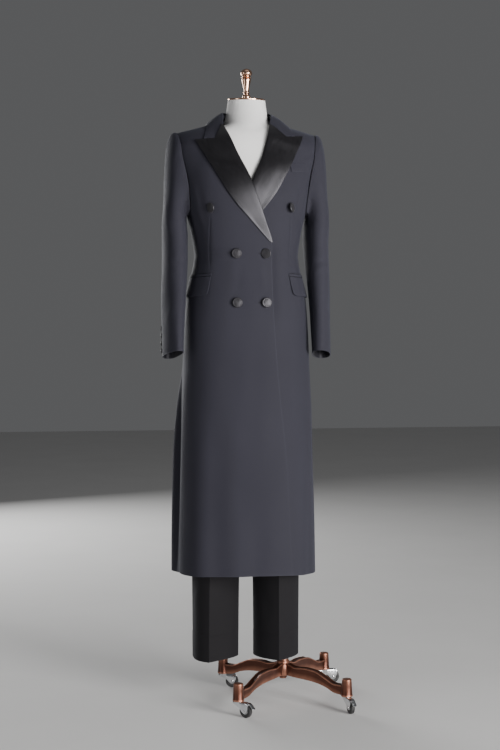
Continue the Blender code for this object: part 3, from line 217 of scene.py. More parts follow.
FINIAL = table(
    "z r",
    (0.0, 0.0115), (0.009, 0.0112), (0.0115, 0.0065), (0.0175, 0.0092), (0.0205, 0.007), (0.036, 0.0095),
    (0.0545, 0.0134), (0.0565, 0.011), (0.06, 0.015), (0.063, 0.0112), (0.0665, 0.0146), (0.071, 0.0166),
    (0.076, 0.0157), (0.0815, 0.0112), (0.085, 0.004),
)
ARM = table(
    "share top bottom",
    (0.0, 0.105, 0.07), (0.12, 0.101, 0.069), (0.21, 0.096, 0.0675), (0.36, 0.0985, 0.0665),
    (0.52, 0.096, 0.064), (0.68, 0.083, 0.057), (0.83, 0.0705, 0.045), (0.96, 0.07, 0.0425),
)
FORK = table(
    "x cheek under top",
    (-0.013, 0.0345, 0.0365, 0.0392), (-0.004, 0.031, 0.037, 0.04), (0.01, 0.0235, 0.0378, 0.04),
    (0.019, 0.014, 0.0382, 0.0403), (0.026, 0.0115, 0.0384, 0.0406), (0.032, 0.015, 0.0372, 0.0396),
    (0.037, 0.024, 0.0345, 0.0372),
)
CASTOR_HEADINGS = {"front_left": -46.0, "front_right": -78.0, "back_right": 0.0, "back_left": -8.0}
BRAKED = ("front_left", "front_right")
FORK_HALF = 0.0084
FORK_SLOT = 0.0063
PEDAL_LINE = ((0.034, 0.0402), (0.0415, 0.0385), (0.048, 0.032), (0.0545, 0.0265))
PEDAL_HALF = 0.0058
PEDAL_SHEET = 0.0009

# --- Folds of the cloth ---
# A ridge (depth above 0) or trough along a short line; each end is a turn in degrees and a height in metres.
COAT_FOLDS = table(
    "a0 z0 a1 z1 width depth",
    # drape in front of and behind the armholes
    (-63, 1.455, -57, 1.33, 0.013, 0.0026), (-57, 1.44, -50, 1.32, 0.01, -0.0014),
    (63, 1.45, 58, 1.335, 0.012, 0.0022), (56, 1.44, 51, 1.33, 0.01, -0.0012),
    (-117, 1.455, -124, 1.32, 0.014, 0.0036), (-127, 1.44, -134, 1.33, 0.012, -0.0022),
    (118, 1.45, 125, 1.325, 0.014, 0.0034), (128, 1.435, 136, 1.32, 0.012, -0.0022),
    # pulls that run out from the closed buttons
    (-24, 1.262, -60, 1.281, 0.008, 0.0015), (-24, 1.246, -62, 1.236, 0.008, 0.0013),
    (-26, 1.254, -56, 1.258, 0.006, -0.0012), (28, 1.259, 62, 1.275, 0.008, 0.0014),
    (29, 1.247, 64, 1.231, 0.008, 0.0013), (30, 1.253, 56, 1.253, 0.006, -0.0011),
    (-14, 1.238, -19, 1.135, 0.014, -0.0012), (12, 1.236, 15, 1.138, 0.012, 0.001),
    # short creases across the hollow of the waist
    (-66, 1.252, -106, 1.243, 0.006, -0.0014), (-70, 1.24, -104, 1.23, 0.007, 0.0013),
    (68, 1.25, 105, 1.244, 0.006, -0.0013), (72, 1.238, 103, 1.229, 0.007, 0.0012),
    (132, 1.262, 176, 1.25, 0.009, 0.0018), (136, 1.247, 172, 1.238, 0.008, -0.0014),
    (-134, 1.258, -177, 1.247, 0.009, 0.0017), (-138, 1.243, -170, 1.233, 0.008, -0.0014),
    # soft break below the collar at the back
    (150, 1.56, 178, 1.545, 0.012, 0.0015), (-152, 1.562, -178, 1.546, 0.012, 0.0014),
)
DART_X = 0.111
# Long soft flutes of the skirt: middle and half width in degrees, height where they begin, depth, and the
# height where they have their full depth.
FLUTES = table(
    "turn width top depth full",
    (-52, 9, 0.98, 0.0045), (-36, 8, 0.88, -0.004), (-18, 8, 0.8, 0.0022), (4, 9, 0.8, -0.0018),
    (50, 8, 0.86, 0.0038), (62, 6, 0.78, -0.0026), (-97, 9, 0.99, -0.009, 0.72), (86, 7, 0.95, 0.003),
    (-118, 9, 0.99, 0.0085, 0.72), (-143, 7, 1.0, 0.002), (-161, 7, 0.92, -0.0055), (127, 6, 0.96, -0.0055),
    (142, 7, 1.0, 0.0075), (160, 7, 0.92, -0.0055),
    defaults=(COAT_HEM,),
)
SLEEVE_FOLDS = table(
    "a0 z0 a1 z1 width depth",
    (60, 1.225, 132, 1.238, 0.009, -0.002), (66, 1.211, 138, 1.222, 0.009, 0.0018),
    (72, 1.196, 128, 1.204, 0.008, -0.0014), (52, 1.242, 112, 1.256, 0.01, 0.0013),
    (10, 1.3, 75, 1.338, 0.012, 0.0018), (285, 1.33, 330, 1.3, 0.012, 0.002),
    (150, 1.4, 122, 1.3, 0.014, 0.0016), (215, 1.405, 238, 1.3, 0.014, 0.0018),
    (110, 1.12, 168, 1.06, 0.014, 0.0014), (225, 1.15, 262, 1.09, 0.013, -0.0014),
    (205, 1.235, 262, 1.222, 0.009, 0.0012), (18, 1.215, 55, 1.232, 0.008, -0.0015),
)
LEG_FOLDS = table(
    "a0 z0 a1 z1 width depth",
    (20, 0.52, 70, 0.545, 0.014, 0.0022), (110, 0.545, 165, 0.52, 0.014, 0.002),
    (15, 0.47, 62, 0.452, 0.013, -0.0018), (116, 0.455, 160, 0.474, 0.013, -0.0018),
    (30, 0.33, 74, 0.25, 0.016, 0.0018), (108, 0.34, 152, 0.262, 0.016, -0.0014),
)


# --- Small tools ---
def smooth_step(value, low, high):
    share = min(max((value - low) / (high - low), 0.0), 1.0)
    return share * share * (3.0 - 2.0 * share)


def smooth_steps(values, low, high):
    share = np.clip((values - low) / (high - low), 0.0, 1.0)
    return share * share * (3.0 - 2.0 * share)


def bell(value, middle, width):
    return np.exp(-(((value - middle) / width) ** 2))


def mix(a, b, share):
    return a + (b - a) * share


def steps(start, end, count):
    return [mix(start, end, i / (count - 1)) for i in range(count)]


def as_grid(rows):
    return np.array([[tuple(point) for point in row] for row in rows])


def mirrored(point):
    return Vector((-point.x, point.y, point.z))


CURVES = {}


def curve_through(rows, column, value, key="z"):
    """One column of a table at this value of its key, on a smooth curve through the rows."""
    known = CURVES.get((id(rows), column, key))
    if known is None:
        keys = [getattr(row, key) for row in rows]
        values = [getattr(row, column) for row in rows]
        if keys[0] > keys[-1]:
            keys.reverse()
            values.reverse()
        slopes = [(values[k + 1] - values[k]) / (keys[k + 1] - keys[k]) for k in range(len(keys) - 1)]
        tangents = [slopes[0]]
        for before, after in zip(slopes, slopes[1:]):
            tangents.append(0.0 if before * after <= 0.0 else 2.0 * before * after / (before + after))
        tangents.append(slopes[-1])
        known = CURVES[(id(rows), column, key)] = (keys, values, tangents)
    keys, values, tangents = known
    if not keys[0] < value < keys[-1]:
        return values[0] if value <= keys[0] else values[-1]
    i = 0
    while keys[i + 1] <= value:
        i += 1
    span = keys[i + 1] - keys[i]
    t = (value - keys[i]) / span
    start = values[i] * (1 + 2 * t) * (1 - t) ** 2 + tangents[i] * span * t * (1 - t) ** 2
    end = values[i + 1] * t * t * (3 - 2 * t) - tangents[i + 1] * span * t * t * (1 - t)
    return start + end


def row_at(rows, value, key="z"):
    """All the other columns of a table at this value of its key."""
    return [curve_through(rows, column, value, key) for column in rows[0]._fields if column != key]


def along_curve(points, count):
    """More points on a smooth curve through a few, count of them between each two."""
    points = [Vector(p) for p in points]
    found = []
    for i in range(len(points) - 1):
        before = points[max(i - 1, 0)]
        start, end = points[i], points[i + 1]
        after = points[min(i + 2, len(points) - 1)]
        for k in range(count):
            t = k / count
            pull = (end - before) * 0.5 * t * (1 - t) ** 2 - (after - start) * 0.5 * t * t * (1 - t)
            found.append(start * ((1 + 2 * t) * (1 - t) ** 2) + end * (t * t * (3 - 2 * t)) + pull)
    found.append(points[-1])
    return found


# --- The coat's body surface ---
def cap_height(x):
    return mix(CAP_HEIGHT_NECK, CAP_HEIGHT_END, min(abs(x) / SHOULDER_END_X, 1.0))


def cap_base(x):
    return curve_through(SHOULDER, "z", abs(x), key="x") - cap_height(x)


def section_point(angle, z, with_fold=True):
    """A point of the coat's section at this height; angle 0 is in front, 90 at the wearer's left."""
    turn = math.radians(angle)
    sine = math.sin(turn)
    cosine = math.cos(turn)
    width = curve_through(COAT, "width", z)
    square = FRONT_SQUARENESS
    depth = curve_through(COAT, "front", z)
    if cosine < 0.0:
        square = curve_through(COAT, "square", z)
        depth = curve_through(COAT, "back", z)
        if with_fold:
            swell = curve_through(COAT, "back_width", z) - width
            width += swell * smooth_step(abs(angle), BACK_SEAM - 1.0, BACK_SEAM + 8.0)
    reach = ((abs(sine) / width) ** square + (abs(cosine) / depth) ** square) ** (-1.0 / square)
    x = reach * sine
    if abs(angle) == 180.0:
        x = math.copysign(1e-6, angle)
    if with_fold:
        apart = (abs(angle) - BACK_SEAM) / BACK_FOLD_TURNS
        x -= math.copysign(curve_through(COAT, "fold", z) * math.exp(-(apart ** 2)), x)
    return x, -reach * cosine


def body_point(angle, height, with_fold=True):
    """A place on the coat; above the shoulder's base the height is a length along the shoulder's arch."""
    x, y = section_point(angle, min(height, CAP_LEVEL), with_fold)
    base = cap_base(x)
    if height <= base:
        return Vector((*section_point(angle, height, with_fold), height))
    x, y = section_point(angle, base, with_fold)
    turn = (height - base) / cap_height(x)
    return Vector((x, mix(SHOULDER_SEAM_Y, y, math.cos(turn)), base + cap_height(x) * math.sin(turn)))


def body_normal(angle, height, with_fold=True):
    across = body_point(angle + 0.4, height, with_fold) - body_point(angle - 0.4, height, with_fold)
    up = body_point(angle, height + 0.0015, with_fold) - body_point(angle, height - 0.0015, with_fold)
    return across.cross(up).normalized()


def lifted(angle, height, lift, with_fold=True):
    return body_point(angle, height, with_fold) + body_normal(angle, height, with_fold) * lift


def cap_row_height(angle, share, back_neck=False):
    x = section_point(angle, CAP_LEVEL)[0]
    top = math.pi / 2
    if back_neck:
        top = mix(BACK_NECK_CAP, top, min(abs(x) / NECK_POINT_X, 1.0) ** BACK_NECK_POWER)
    return cap_base(x) + cap_height(x) * top * share


def section_depth(x, level, column):
    """How deep the section's front or back is at this x."""
    share = min(abs(x) / curve_through(COAT, "width", level), 1.0)
    return curve_through(COAT, column, level) * (1.0 - share ** FRONT_SQUARENESS) ** (1.0 / FRONT_SQUARENESS)


def angle_at(x, z):
    return math.degrees(math.atan2(x, section_depth(x, min(z, cap_base(x)), "front")))


def cap_z(x, y):
    base = cap_base(x)
    back = y > SHOULDER_SEAM_Y
    full = section_depth(x, base, "back" if back else "front") * (1 if back else -1)
    part = min((y - SHOULDER_SEAM_Y) / (full - SHOULDER_SEAM_Y), 1.0)
    return base + cap_height(x) * math.sqrt(1.0 - part * part)


def height_of(x, z):
    base = cap_base(x)
    if z <= base:
        return z
    return base + cap_height(x) * math.asin(min((z - base) / cap_height(x), 1.0))


def over_front_lift(angle, height):
    """How far the wearer's right front lies above the left one and what is folded under it."""
    stacked = FRONT_LIFT * smooth_step(height, 1.6, CHEST_Z)
    stacked += LAPEL_LIFT * smooth_step(height, 1.2, 1.27) * smooth_step(height, 1.56, CHEST_Z)
    return stacked * smooth_step(abs(angle), *OVERLAP_TURNS)


def flat_lift(angle, height):
    return 0.0


PANEL_LIFT = {"right": over_front_lift, "left": flat_lift}


# --- Cloth: grids of points, their folds and walls ---
METRES_A_DEGREE = {"coat": 0.0028, "sleeve": 0.00096, "leg": 0.0016}
LUMP, SMALL_LUMP = 0.0003, 0.00025
MIRROR = np.array((-1.0, 1.0, 1.0))


def grid_normals(grid, round_rows=False):
    """The direction across a grid of points at each of them, from its neighbours."""
    if round_rows:
        along = np.roll(grid, -1, 1) - np.roll(grid, 1, 1)
    else:
        along = np.gradient(grid, axis=1)
    normals = np.cross(along, np.gradient(grid, axis=0))
    return normals / np.maximum(np.linalg.norm(normals, axis=2, keepdims=True), 1e-12)


def folds_at(turns, heights, folds, scale):
    """How far the folds lift the cloth at these places."""
    lift = np.zeros(turns.shape)
    for fold in folds:
        start = np.array((fold.a0 * scale, fold.z0))
        run = np.array((fold.a1 * scale, fold.z1)) - start
        dx = turns * scale - start[0]
        dz = heights - start[1]
        part = np.clip((dx * run[0] + dz * run[1]) / (run @ run), 0.0, 1.0)
        apart = np.hypot(dx - part * run[0], dz - part * run[1])
        lift += fold.depth * bell(apart, 0.0, fold.width) * (4.0 * part * (1.0 - part)) ** 0.6
    return lift


def coat_ease(turns, heights):
    """Folds and flutes of the coat's body at these places round it, alike for every layer that lies on it."""
    lift = folds_at(turns, heights, COAT_FOLDS, METRES_A_DEGREE["coat"])
    for flute in FLUTES:
        fall = smooth_steps(heights, flute.top, flute.full)
        lift += flute.depth * bell(turns, flute.turn, flute.width) * fall
    under_lapels = smooth_steps(heights, 1.23, 1.3) * smooth_steps(np.abs(turns), 66.0, 48.0)
    lumps = LUMP * np.sin(turns * 0.13 + heights * 9.0) * np.sin(heights * 17.0 + turns * 0.05)
    lumps += SMALL_LUMP * np.sin(turns * 0.22 - heights * 11.0 + 1.3)
    return lift + lumps * (1.0 - under_lapels)


def on_coat(word, angle, height, up):
    """A place this far above one side of the coat, with its folds."""
    ease = float(coat_ease(np.array(angle, dtype=float), np.array(height, dtype=float)))
    return lifted(angle, height, PANEL_LIFT[word](angle, height) + ease + up)


def front_place(word, x, z, up):
    return on_coat(word, angle_at(x, z), height_of(x, z), up)


def arc_lengths(grid):
    """How far each point lies along its row and up its column."""
    u = np.zeros(grid.shape[:2])
    v = np.zeros(grid.shape[:2])
    u[:, 1:] = np.cumsum(np.linalg.norm(np.diff(grid, axis=1), axis=2), axis=1)
    v[1:] = np.cumsum(np.linalg.norm(np.diff(grid, axis=0), axis=2), axis=0)
    return u, v


def area_of(grid):
    a, b, c, d = grid[:-1, :-1], grid[:-1, 1:], grid[1:, 1:], grid[1:, :-1]
    halves = (np.cross(b - a, c - a), np.cross(c - a, d - a))
    return float(sum(0.5 * np.linalg.norm(half, axis=2).sum() for half in halves))


def new_object(name, points, faces, finishes, inside, uv, edge, sharp, body):
    """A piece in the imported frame, riding on its body. inside marks the faces that take the second finish."""
    mesh = bpy.data.meshes.new(name)
    mesh.from_pydata((np.asarray(points) + np.array(SHIFT)).tolist(), [], faces)
    for finish in finishes:
        mesh.materials.append(finish)
    if len(finishes) > 1:
        mesh.polygons.foreach_set("material_index", np.asarray(inside, dtype=np.int32))
    layer = mesh.uv_layers.new(name="cloth")
    corners = np.empty(len(mesh.loops), dtype=np.int32)
    mesh.loops.foreach_get("vertex_index", corners)
    layer.data.foreach_set("uv", np.asarray(uv)[corners].astype(np.float32).ravel())
    mesh.attributes.new("edge", "FLOAT", "POINT").data.foreach_set("value", np.asarray(edge, dtype=np.float32))
    shape = bmesh.new()
    shape.from_mesh(mesh)
    bmesh.ops.recalc_face_normals(shape, faces=shape.faces)
    shape.to_mesh(mesh)
    shape.free()
    mesh.shade_smooth()
    mesh.set_sharp_from_angle(angle=math.radians(sharp))
    made = bpy.data.objects.new("seen_" + name, mesh)
    bpy.context.scene.collection.objects.link(made)
    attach(made, body)
    return made


# Each sheet's flat width, length and area, by the name of its object.
FLAT = {}


def cloth_wall(name, outer, inner, finishes, round_rows=False):
    """A closed wall of cloth between two grids, its free edges rounded."""
    rows, columns = outer.shape[:2]
    size = rows * columns
    u, v = arc_lengths(outer)
    edge = np.minimum(v, v[-1:] - v)
    if not round_rows:
        edge = np.minimum(edge, np.minimum(u, u[:, -1:] - u))
    uv = np.stack([u - u[:, columns // 2:columns // 2 + 1], v], axis=2).reshape(-1, 2)

    index = np.arange(size).reshape(rows, columns)
    beside = [np.clip(np.arange(count), 1, count - 2) for count in (rows, columns)]
    if round_rows:
        beside[1] = np.arange(columns)
        wide = np.concatenate([index, index[:, :1]], axis=1)
        loops = [wide[0].tolist(), wide[-1].tolist()]
    else:
        wide = index
        ring = [*index[0], *index[1:, -1], *index[-1, -2::-1], *index[-2:0:-1, 0]]
        loops = [[int(i) for i in ring + ring[:1]]]
    near = index[np.ix_(*beside)].ravel()
    quads = np.stack([wide[:-1, :-1], wide[:-1, 1:], wide[1:, 1:], wide[1:, :-1]], axis=2).reshape(-1, 4)
    faces = quads.tolist() + (quads[:, ::-1] + size).tolist()

    rim = [i for loop in loops for i in loop[:-1]]
    places = {i: 2 * size + k for k, i in enumerate(rim)}
    for loop in loops:
        for a, b in zip(loop, loop[1:]):
            faces.append([a, b, places[b], places[a]])
            faces.append([places[a], places[b], size + b, size + a])
    inside = [0] * len(quads) + [1] * len(quads) + [0] * (2 * len(rim))
    sheets = [outer.reshape(-1, 3).copy(), inner.reshape(-1, 3).copy()]
    middles = 0.5 * (sheets[0][rim] + sheets[1][rim])
    for sheet in sheets:
        way = sheet[near[rim]] - sheet[rim]
        long = np.linalg.norm(way, axis=1, keepdims=True)
        sheet[rim] += way / np.maximum(long, 1e-9) * np.minimum(EDGE_ROUND, 0.3 * long)
    points = np.concatenate([*sheets, middles])
    edges = np.concatenate([edge.ravel(), edge.ravel(), np.zeros(len(rim))])
    places_on_cloth = np.concatenate([uv, uv, uv[rim]])
    made = new_object(name, points, faces, finishes, inside, places_on_cloth, edges, WALL_SHARP, WEARER)
    whole = np.concatenate([outer, outer[:, :1]], axis=1) if round_rows else outer
    FLAT[made.name] = (float(arc_lengths(whole)[0][:, -1].max()), float(v[-1].max()), area_of(whole))
    return made


def wall_of(name, grid, thickness, finish, inside, round_rows=False):
    """A wall from its outer grid; inside is a place that its normals point away from."""
    normals = grid_normals(grid, round_rows)
    if ((grid - np.array(inside)) * normals).sum() < 0.0:
        normals = -normals
    return cloth_wall(name, grid, grid - normals * thickness, (finish,), round_rows)


def declare(piece, nodes, slot_name):
    """The piece stands for its CAD nodes; its flat size is looked up but not used."""
    stand_in(piece, slot_name, *nodes)
    width, length, area = FLAT[piece.name]
    width = round(width, 3)
    length = round(length, 3)


# --- Solids through rings ---
def stand_in(piece, slot_name, *nodes):
    """The piece's slot name is not used; the CAD nodes that it replaces, if any, are hidden."""
    if nodes:
        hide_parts(*nodes)
    return piece


def turned_rings(profile, segments, first=0.0):
    """Rings round the Z axis from rows of height and radius."""
    angles = [2 * math.pi * (k + first) / segments for k in range(segments)]
    return [[Vector((r * math.cos(a), r * math.sin(a), z)) for a in angles] for z, r in profile]


def solid_of_rings(name, rings, finish, sharp=35.0, body=WEARER, place=Matrix()):
    """A closed solid through rings of the same number of points, a flat cap at each end."""
    count = len(rings[0])
    grid = as_grid([[place @ point for point in ring] for ring in rings])
    index = np.arange(len(rings) * count).reshape(len(rings), count)
    wide = np.concatenate([index, index[:, :1]], axis=1)
    quads = np.stack([wide[:-1, :-1], wide[:-1, 1:], wide[1:, 1:], wide[1:, :-1]], axis=2).reshape(-1, 4)
    faces = quads.tolist() + [index[0].tolist(), index[-1].tolist()]
    uv = np.stack(arc_lengths(grid), axis=2).reshape(-1, 2)
    edges = np.full(index.size, 0.01)
    return new_object(name, grid.reshape(-1, 3), faces, (finish,), None, uv, edges, sharp, body)


def turned(name, profile, segments, finish, sharp, place, body=WEARER, first=0.0):
    return solid_of_rings(name, turned_rings(profile, segments, first), finish, sharp, body, place)


def union_into(base, others):
    for other in others:
        join = base.modifiers.new("join", "BOOLEAN")
        join.operation = "UNION"
        join.solver = "EXACT"
        join.object = other
    graph = bpy.context.evaluated_depsgraph_get()
    mesh = bpy.data.meshes.new_from_object(base.evaluated_get(graph))
    base.modifiers.clear()
    base.data = mesh
    mesh.shade_smooth()
    mesh.set_sharp_from_angle(angle=math.radians(32.0))
    for other in others:
        bpy.data.objects.remove(other, do_unlink=True)


# --- Finishes ---
class Finish:
    """A material's nodes; add() makes one and fills its inputs with values or other nodes' outputs."""

    def __init__(self, name):
        self.material = bpy.data.materials.new(name)
        self.material.use_nodes = True
        self.tree = self.material.node_tree
        self.shader = self.tree.nodes["Principled BSDF"]

    def add(self, kind, inputs=None, **settings):
        node = self.tree.nodes.new("ShaderNode" + kind)
        for key, value in settings.items():
            setattr(node, key, value)
        self.fill(node, inputs or {})
        return node

    def fill(self, node, inputs):
        for key, value in inputs.items():
            if isinstance(value, bpy.types.NodeSocket):
                self.tree.links.new(value, node.inputs[key])
            else:
                node.inputs[key].default_value = value

    def sum(self, a, b):
        return self.add("Math", {0: a, 1: b}, operation="ADD").outputs[0]

    def product(self, a, b):
        return self.add("Math", {0: a, 1: b}, operation="MULTIPLY").outputs[0]

    def mix(self, a, b, share):
        """Between two colours, each of them three numbers or a node's output."""
        a, b = [(*colour, 1.0) if isinstance(colour, (tuple, list)) else colour for colour in (a, b)]
        return self.add("Mix", {0: share, 6: a, 7: b}, data_type="RGBA").outputs[2]

    def ramp(self, value, low, high, start=0.0, end=1.0):
        inputs = {"Value": value, "From Min": low, "From Max": high, "To Min": start, "To Max": end}
        return self.add("MapRange", inputs).outputs["Result"]

    def cloth_place(self):
        return self.add("UVMap", uv_map="cloth").outputs["UV"]

    def wave(self, place, period, turn, wobble=0.0):
        """Even ribs at this period in metres, turned by this angle."""
        node = self.add("Mapping", {"Vector": place, "Rotation": (0.0, 0.0, math.radians(turn))})
        return self.add("TexWave", {"Vector": node.outputs[0], "Scale": 0.314159 / period, "Distortion": wobble,
                                    "Detail": 1.0, "Detail Scale": 2.0}).outputs["Fac"]

    def noise(self, place, scale, detail=2.0, rough=0.5):
        return self.add("TexNoise", {"Vector": place, "Scale": scale, "Detail": detail,
                                     "Roughness": rough}).outputs["Fac"]

    def stretched(self, place, scale):
        return self.add("Mapping", {"Vector": place, "Scale": scale}).outputs[0]

    def object_place(self):
        return self.add("TexCoord").outputs["Object"]

    def edge_with_painted_sheen(self, colour, light, low, high, gain):
        """How near the piece's edge is, and the colour made a little lighter there as a painted sheen."""
        edge = self.add("Attribute", attribute_name="edge").outputs["Fac"]
        edge_smooth_and_sheen = self.ramp(edge, low, high, 1.0, 0.0)
        return edge_smooth_and_sheen, self.mix(colour, [c * gain for c in light], self.product(edge_smooth_and_sheen, 0.12))

    def done(self, inputs):
        self.fill(self.shader, inputs)
        return self.material

    def bump(self, height, distance, strength, under=None):
        inputs = {"Height": height, "Distance": distance, "Strength": strength}
        if under is not None:
            inputs["Normal"] = under
        return self.add("Bump", inputs).outputs["Normal"]


def wool(name, dark, light, rib=0.0012, sheen=0.12):
    """Worsted: fine diagonal ribs crossed by the weft, two shades of yarn, a pressed edge a little smoother and
    lightened by a painted sheen.
    """
    f = Finish(name)
    place = f.cloth_place()
    twill = f.wave(place, rib, 32.0, 0.8)
    weft = f.wave(place, rib * 0.8, -58.0, 1.2)
    fluff = f.noise(place, 1400.0, 3.0, 0.6)
    yarn = f.noise(place, 620.0, 2.0, 0.7)
    broad = f.noise(f.object_place(), 4.5, 2.0)
    shade = f.sum(f.ramp(yarn, 0.32, 0.68), f.ramp(twill, 0.0, 1.0, -0.16, 0.16))
    shade = f.sum(shade, f.ramp(broad, 0.3, 0.7, -0.1, 0.1))
    colour = f.mix(dark, light, shade)
    # painted sheen: the colour is made a little lighter near the piece's edge, where the cloth is also a little
    # smoother
    edge_smooth_and_sheen, colour = f.edge_with_painted_sheen(colour, light, 0.0006, 0.0035, 1.35)
    height = f.sum(f.sum(f.product(twill, 0.55), f.product(weft, 0.3)), f.product(fluff, 0.45))
    soft = f.bump(broad, 0.004, 0.1)
    return f.done({
        "Base Color": colour,
        "Roughness": f.sum(f.ramp(fluff, 0.2, 0.8, 0.7, 0.88), f.product(edge_smooth_and_sheen, -0.1)),
        "Specular IOR Level": 0.22,
        "Sheen Weight": sheen,
        "Sheen Roughness": 0.45,
        "Sheen Tint": (0.75, 0.8, 1.0, 1.0),
        "Normal": f.bump(height, 0.0003, 0.42, soft),
    })


def satin(name, dark, light, rough=0.34, ripple=0.12):
    """Silk satin: very fine ribs along the piece, broad soft ripples, a directional gloss, and a painted sheen
    that lightens the colour near the edges.
    """
    f = Finish(name)
    place = f.cloth_place()
    rib = f.wave(place, 0.0007, 90.0, 0.6)
    slub = f.noise(f.stretched(place, (220.0, 40.0, 1.0)), 1.0, 3.0)
    broad = f.noise(f.object_place(), 16.0, 1.5)
    shade = f.sum(f.ramp(slub, 0.3, 0.7), f.ramp(rib, 0.0, 1.0, -0.12, 0.12))
    colour = f.mix(dark, light, shade)
    # painted sheen: the satin's colour is made lighter near the piece's edge
    colour = f.edge_with_painted_sheen(colour, light, 0.0005, 0.003, 1.6)[1]
    return f.done({
        "Base Color": colour,
        "Roughness": f.ramp(slub, 0.2, 0.8, rough - 0.03, rough + 0.05),
        "Specular IOR Level": 0.46,
        "Specular Tint": (0.95, 0.93, 1.0, 1.0),
        "Anisotropic": 0.5,
        "Sheen Weight": 0.05,
        "Tangent": f.add("Tangent", direction_type="UV_MAP", uv_map="cloth").outputs[0],
        "Normal": f.bump(rib, 0.0001, 0.18, f.bump(broad, 0.004, ripple)),
    })


def linen(name):
    """The form's cover: plain weave in off-white, with slight handling marks."""
    f = Finish(name)
    place = f.cloth_place()
    warp = f.wave(place, 0.0011, 0.0, 1.0)
    weft = f.wave(place, 0.0011, 90.0, 1.0)
    slub = f.noise(f.stretched(place, (90.0, 520.0, 1.0)), 1.0, 3.0, 0.6)
    broad = f.noise(f.object_place(), 7.0, 3.0, 0.6)
    shade = f.sum(f.ramp(slub, 0.25, 0.75, 0.0, 0.6), f.ramp(broad, 0.3, 0.7, 0.0, 0.4))
    colour = f.mix((0.8, 0.79, 0.77), (0.91, 0.905, 0.89), shade)
    height = f.sum(f.product(warp, weft), f.product(slub, 0.5))
    return f.done({
        "Base Color": colour,
        "Roughness": f.ramp(slub, 0.2, 0.8, 0.82, 0.95),
        "Specular IOR Level": 0.25,
        "Sheen Weight": 0.12,
        "Normal": f.bump(height, 0.0003, 0.35),
    })


def metal(name, dark, light, rough, scratch=0.05, edge_wear_and_highlight=0.0, edge_wear_and_highlight_colour=(0.9, 0.7, 0.6), grain=0.0,
          metallic=1.0):
    """Metal with cloudy tone, fine scratches and edges made brighter, partly as rubbed wear and partly as a
    painted highlight.
    """
    f = Finish(name)
    place = f.object_place()
    cloud = f.noise(place, 26.0, 4.0, 0.6)
    fine = f.noise(f.stretched(place, (300.0, 300.0, 1600.0)), 1.0, 2.0)
    colour = f.mix(dark, light, f.ramp(cloud, 0.3, 0.7))
    # sharp edges lightened from pointiness: partly rubbed wear, partly a painted highlight where the edges
    # catch light
    if edge_wear_and_highlight:
        point = f.add("NewGeometry").outputs["Pointiness"]
        rubbed_and_highlit = f.product(f.ramp(point, 0.503, 0.54, 0.0, edge_wear_and_highlight), f.ramp(cloud, 0.35, 0.65, 0.6, 1.0))
        colour = f.mix(colour, edge_wear_and_highlight_colour, rubbed_and_highlit)
    height = f.sum(fine, f.product(f.noise(place, 900.0, 3.0), grain))
    return f.done({
        "Base Color": colour,
        "Metallic": metallic,
        "Roughness": f.sum(f.ramp(cloud, 0.3, 0.7, rough * 0.8, rough * 1.25),
                           f.ramp(fine, 0.3, 0.7, 0.0, 0.05)),
        "Normal": f.bump(height, 0.0002, scratch),
    })


def rubber(name, dark, light):
    f = Finish(name)
    place = f.object_place()
    cloud = f.noise(place, 120.0, 4.0, 0.7)
    fine = f.noise(place, 1500.0, 3.0)
    return f.done({
        "Base Color": f.mix(dark, light, f.ramp(cloud, 0.35, 0.75)),
        "Roughness": f.ramp(cloud, 0.3, 0.7, 0.5, 0.72),
        "Specular IOR Level": 0.4,
        "Normal": f.bump(fine, 0.0003, 0.15),
    })


def pale_floor():
    f = Finish("pale_floor")
    place = f.object_place()
    return f.done({
        "Base Color": f.mix((0.6, 0.595, 0.585), (0.66, 0.655, 0.645), f.noise(place, 3.0, 4.0, 0.6)),
        "Roughness": 0.85,
        "Specular IOR Level": 0.2,
        "Normal": f.bump(f.noise(place, 220.0, 3.0), 0.0008, 0.15),
    })


WOOL = wool("charcoal_wool", (0.0145, 0.014, 0.0202), (0.032, 0.031, 0.0432), sheen=0.08)
TROUSER_WOOL = wool("black_wool", (0.0045, 0.004, 0.0048), (0.0115, 0.0104, 0.012), 0.001, 0.035)
SATIN = satin("lapel_satin", (0.0035, 0.0033, 0.0038), (0.0075, 0.0071, 0.0082), 0.35, 0.05)
BUTTON_SATIN = satin("button_satin", (0.013, 0.0125, 0.014), (0.027, 0.026, 0.029), 0.36, 0.1)
LINING = satin("lining_satin", (0.012, 0.012, 0.015), (0.024, 0.024, 0.03), 0.42, 0.25)
LINEN = linen("form_linen")
# the copper's sharp edges are lightened: partly wear, partly a painted highlight
COPPER = metal("copper_enamel", (0.082, 0.03, 0.019), (0.125, 0.048, 0.031), 0.33, 0.1, 0.8, (0.5, 0.23, 0.15),
               0.5, 0.8)
ROSE_GOLD = metal("rose_gold", (0.7, 0.43, 0.3), (0.83, 0.55, 0.4), 0.13, 0.03)
CHROME = metal("chrome_plate", (0.62, 0.63, 0.65), (0.78, 0.79, 0.8), 0.12, 0.04)
RUBBER = rubber("castor_tread", (0.02, 0.02, 0.021), (0.06, 0.058, 0.056))


# --- Coat body ---
SIDES = ((-1, "right"), (1, "left"))
LAST_SHARE = 0.9989
SIDE_TOP = 1.378
CAP_FOOT = 1.515
LEVELS = steps(COAT_HEM, CAP_FOOT, 134)
CAP_SHARES = steps(0.0, LAST_SHARE, 15)
HALF_SEAM = math.degrees(0.5 * SEAM / 0.16)
FRONT_COLUMNS = 46
BACK_COLUMNS = 42
SIDE_COLUMNS = 22
SIDE_ROWS = 120
HOLLOW_POWER = 1.6
